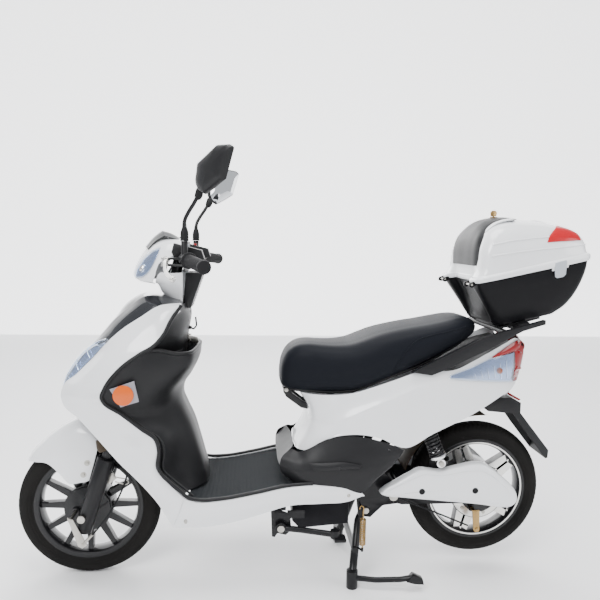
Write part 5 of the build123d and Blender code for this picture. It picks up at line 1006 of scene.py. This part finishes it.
# ---- rear end ----
def rear_end():
    """Motor covers, swingarm, shocks with their coils, mudguard and carrier."""
    outline = [(-253, 278), (-262, 290), (-300, 312), (-340, 335), (-371, 350), (-398, 348), (-424, 344),
               (-480, 355), (-539, 365), (-562, 363), (-585, 351), (-618, 325), (-645, 301), (-663, 280),
               (-670, 262), (-669, 244), (-656, 232), (-631, 228), (-600, 231), (-572, 236), (-480, 247),
               (-380, 258), (-295, 268), (-264, 272)]
    spine = [(-300, 283), (-320, 290), (-340, 298), (-370, 304), (-395, 306), (-415, 308), (-440, 308),
             (-480, 308), (-520, 306), (-545, 303), (-560, 300), (-575, 295), (-585, 288), (-592, 280),
             (-594, 272), (-590, 264), (-580, 260), (-565, 262), (-545, 268), (-520, 274), (-470, 280),
             (-400, 283), (-340, 282), (-305, 281)]

    def ring(s, y):
        return [(x + (a - x) * s, y, z + (b - z) * s) for (x, z), (a, b) in zip(outline, spine)]
    rings = [ring(-0.005, 106), ring(0.0, 118), ring(0.015, 125), ring(0.06, 130.5), ring(0.16, 133.5),
             ring(0.30, 135), ring(0.36, 132.5), ring(0.46, 132),
             ring(0.7, 132.4), ring(0.92, 132.6)]
    cover = solid("motor_cover", rings, WHITE, "swingarm", (4, 4), ((4, 5), ()), both=True, hollow=True)
    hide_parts("motor_covers")
    tree = side_surface(cover)
    for x, z in ((-376, 284), (-537, 284)):
        y = lay(tree, x, z, 0)[1]
        lathe("cover_plug", [(0.01, y - 3), (0.01, y + 1.0), (5, y + 1.4), (6, y + 2.4), (9, y + 1.2),
                             (9, y - 3)], (x, z), MATT, "swingarm", 32, 0.4, True)
    cad_finish("swingarm", STEEL, 1.2)
    cad_finish("rear_brake_cable", MATT, 0.0)
    cad_finish("shock_bodies", STEEL, 0.8)
    cad_finish("shock_rods", [CHROME, ZINC], 0.8)
    top, eye = np.array(SHOCK_TOP), np.array(SHOCK_EYE)
    for side in (1, -1):
        a, b = top + (eye - top) * 0.172, top + (eye - top) * 0.808
        a[1] *= side
        b[1] *= side
        spring = coil(f"shock_coil_{side}", a, b, 19, 3.6, 9, STEEL, None)
        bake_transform(spring)
        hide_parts("shock_springs")
    cad_finish("rear_mudguard", [SATIN, BROWN, RED], 2.0)

    def guard_slot(c, n):
        lamp = 528 < c.z < 556 and -710 < c.x < -668 and abs(c.y) < 40 and c.z > 0.53 * c.x + 898
        return 2 if lamp else (1 if c.x > -590 else 0)
    paint("rear_mudguard", guard_slot)
    cad_finish("luggage_carrier", SATIN, 4.0)


# ---- frame, stands and fittings ----
def frame_and_stands():
    """Finishes of the frame, battery and stands, with the stand's spring."""
    cad_finish("main_frame", STEEL, 1.2)
    cad_finish("battery", CASE, 3.0)
    cad_finish("motor_controller", ALLOY, 0.6)
    cad_finish("chassis_hardware", ZINC, 0.6)
    cad_finish("side_reflectors", [PRISM, AMBER], 1.6)
    paint("side_reflectors", lambda c, n: 1 if abs(c.y) > 203.2 else 0)
    cad_finish("ignition_key", ZINC, 0.5)
    cad_finish("bag_hook", STEEL, 0.3)
    cad_finish("centre_stand", STEEL, 1.2)
    cad_finish("side_stand", STEEL, 1.2)
    spring = coil("stand_coil", (-203, 132, 204), (-203, 132, 126), 7.4, 1.9, 15, GOLD, "stand_spring")
    tube("stand_hook_top", [(-203, 139, 204), (-203, 134, 212), (-203, 132, 226), (-203, 132, 240),
                            (-197, 132, 244), (-191.5, 132, 234)], 1.9, GOLD,
         "stand_spring", per=5, sides=12)
    tube("stand_hook_low", [(-203, 139, 126), (-203, 134, 121), (-203, 132, 113), (-203, 128, 108),
                            (-203, 122, 110)], 1.9, GOLD, "stand_spring", per=5,
         sides=12)
    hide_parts("stand_spring")


# ---- studio ----
def staged(name, corners, mat):
    """Flat piece of the studio, left out of the model."""
    data = bpy.data.meshes.new(name)
    data.from_pydata(corners, [], [(0, 1, 2, 3)])
    obj = bpy.data.objects.new(name, data)
    bpy.context.scene.collection.objects.link(obj)
    data.materials.append(mat)


def studio():
    """Pale floor and bright wall, soft lamps, and the camera at the side of the scooter."""
    staged("ground", [(-9, -9, 0), (9, -9, 0), (9, 9, 0), (-9, 9, 0)],
           material("studio floor", (0.96, 0.96, 0.965), 0.6, shine=0.2))
    staged("wall", [(-9, -4.5, 0), (9, -4.5, 0), (9, -4.5, 9), (-9, -4.5, 9)],
           material("studio wall", (0.96, 0.96, 0.965), 0.8, glow=1.9))
    world = bpy.context.scene.world or bpy.data.worlds.new("studio")
    bpy.context.scene.world = world
    world.use_nodes = True
    world.node_tree.nodes["Background"].inputs["Color"].default_value = (0.94, 0.96, 1.0, 1)
    world.node_tree.nodes["Background"].inputs["Strength"].default_value = 0.75
    for name, at, look, size, power in (("key", (1.6, 2.6, 3.0), (0, 0, 0.5), 2.0, 125),
                                        ("side", (-2.8, 2.2, 1.8), (-0.2, 0, 0.6), 1.6, 30),
                                        ("top", (0, 0.3, 3.6), (0, 0, 0.5), 2.4, 120),
                                        ("back", (0.5, -3, 2.2), (0, 0, 0.6), 2.0, 40)):
        lamp = bpy.data.lights.new(name, "AREA")
        lamp.shape = "DISK"
        lamp.size = size
        lamp.energy = power
        o = bpy.data.objects.new(name, lamp)
        bpy.context.scene.collection.objects.link(o)
        o.location = at
        o.rotation_euler = (Vector(look) - Vector(at)).to_track_quat("-Z", "Y").to_euler()
    at = (0.136, 1.804, 1.0165)
    yaw, pitch, roll = radians(4.86), radians(5.76), radians(0.99)
    d = Vector((-sin(yaw) * cos(pitch), -cos(yaw) * cos(pitch), -sin(pitch)))
    right = d.cross(Vector((0, 0, 1))).normalized()
    up = right.cross(d).normalized()
    r2 = right * cos(roll) + up * sin(roll)
    u2 = up * cos(roll) - right * sin(roll)
    cam = bpy.data.cameras.new("side_view")
    cam.sensor_width = 36
    cam.lens = 36.198
    o = bpy.data.objects.new("side_view", cam)
    bpy.context.scene.collection.objects.link(o)
    rows = [(r2[k], u2[k], -d[k], at[k]) for k in range(3)]
    o.matrix_world = Matrix((*rows, (0, 0, 0, 1)))
    bpy.context.scene.camera = o


front_panels()
inner_shield()
floor()
rear_body()
seat()
luggage_box()
cowl()
controls()
wheels()
fork()
rear_end()
frame_and_stands()
studio()
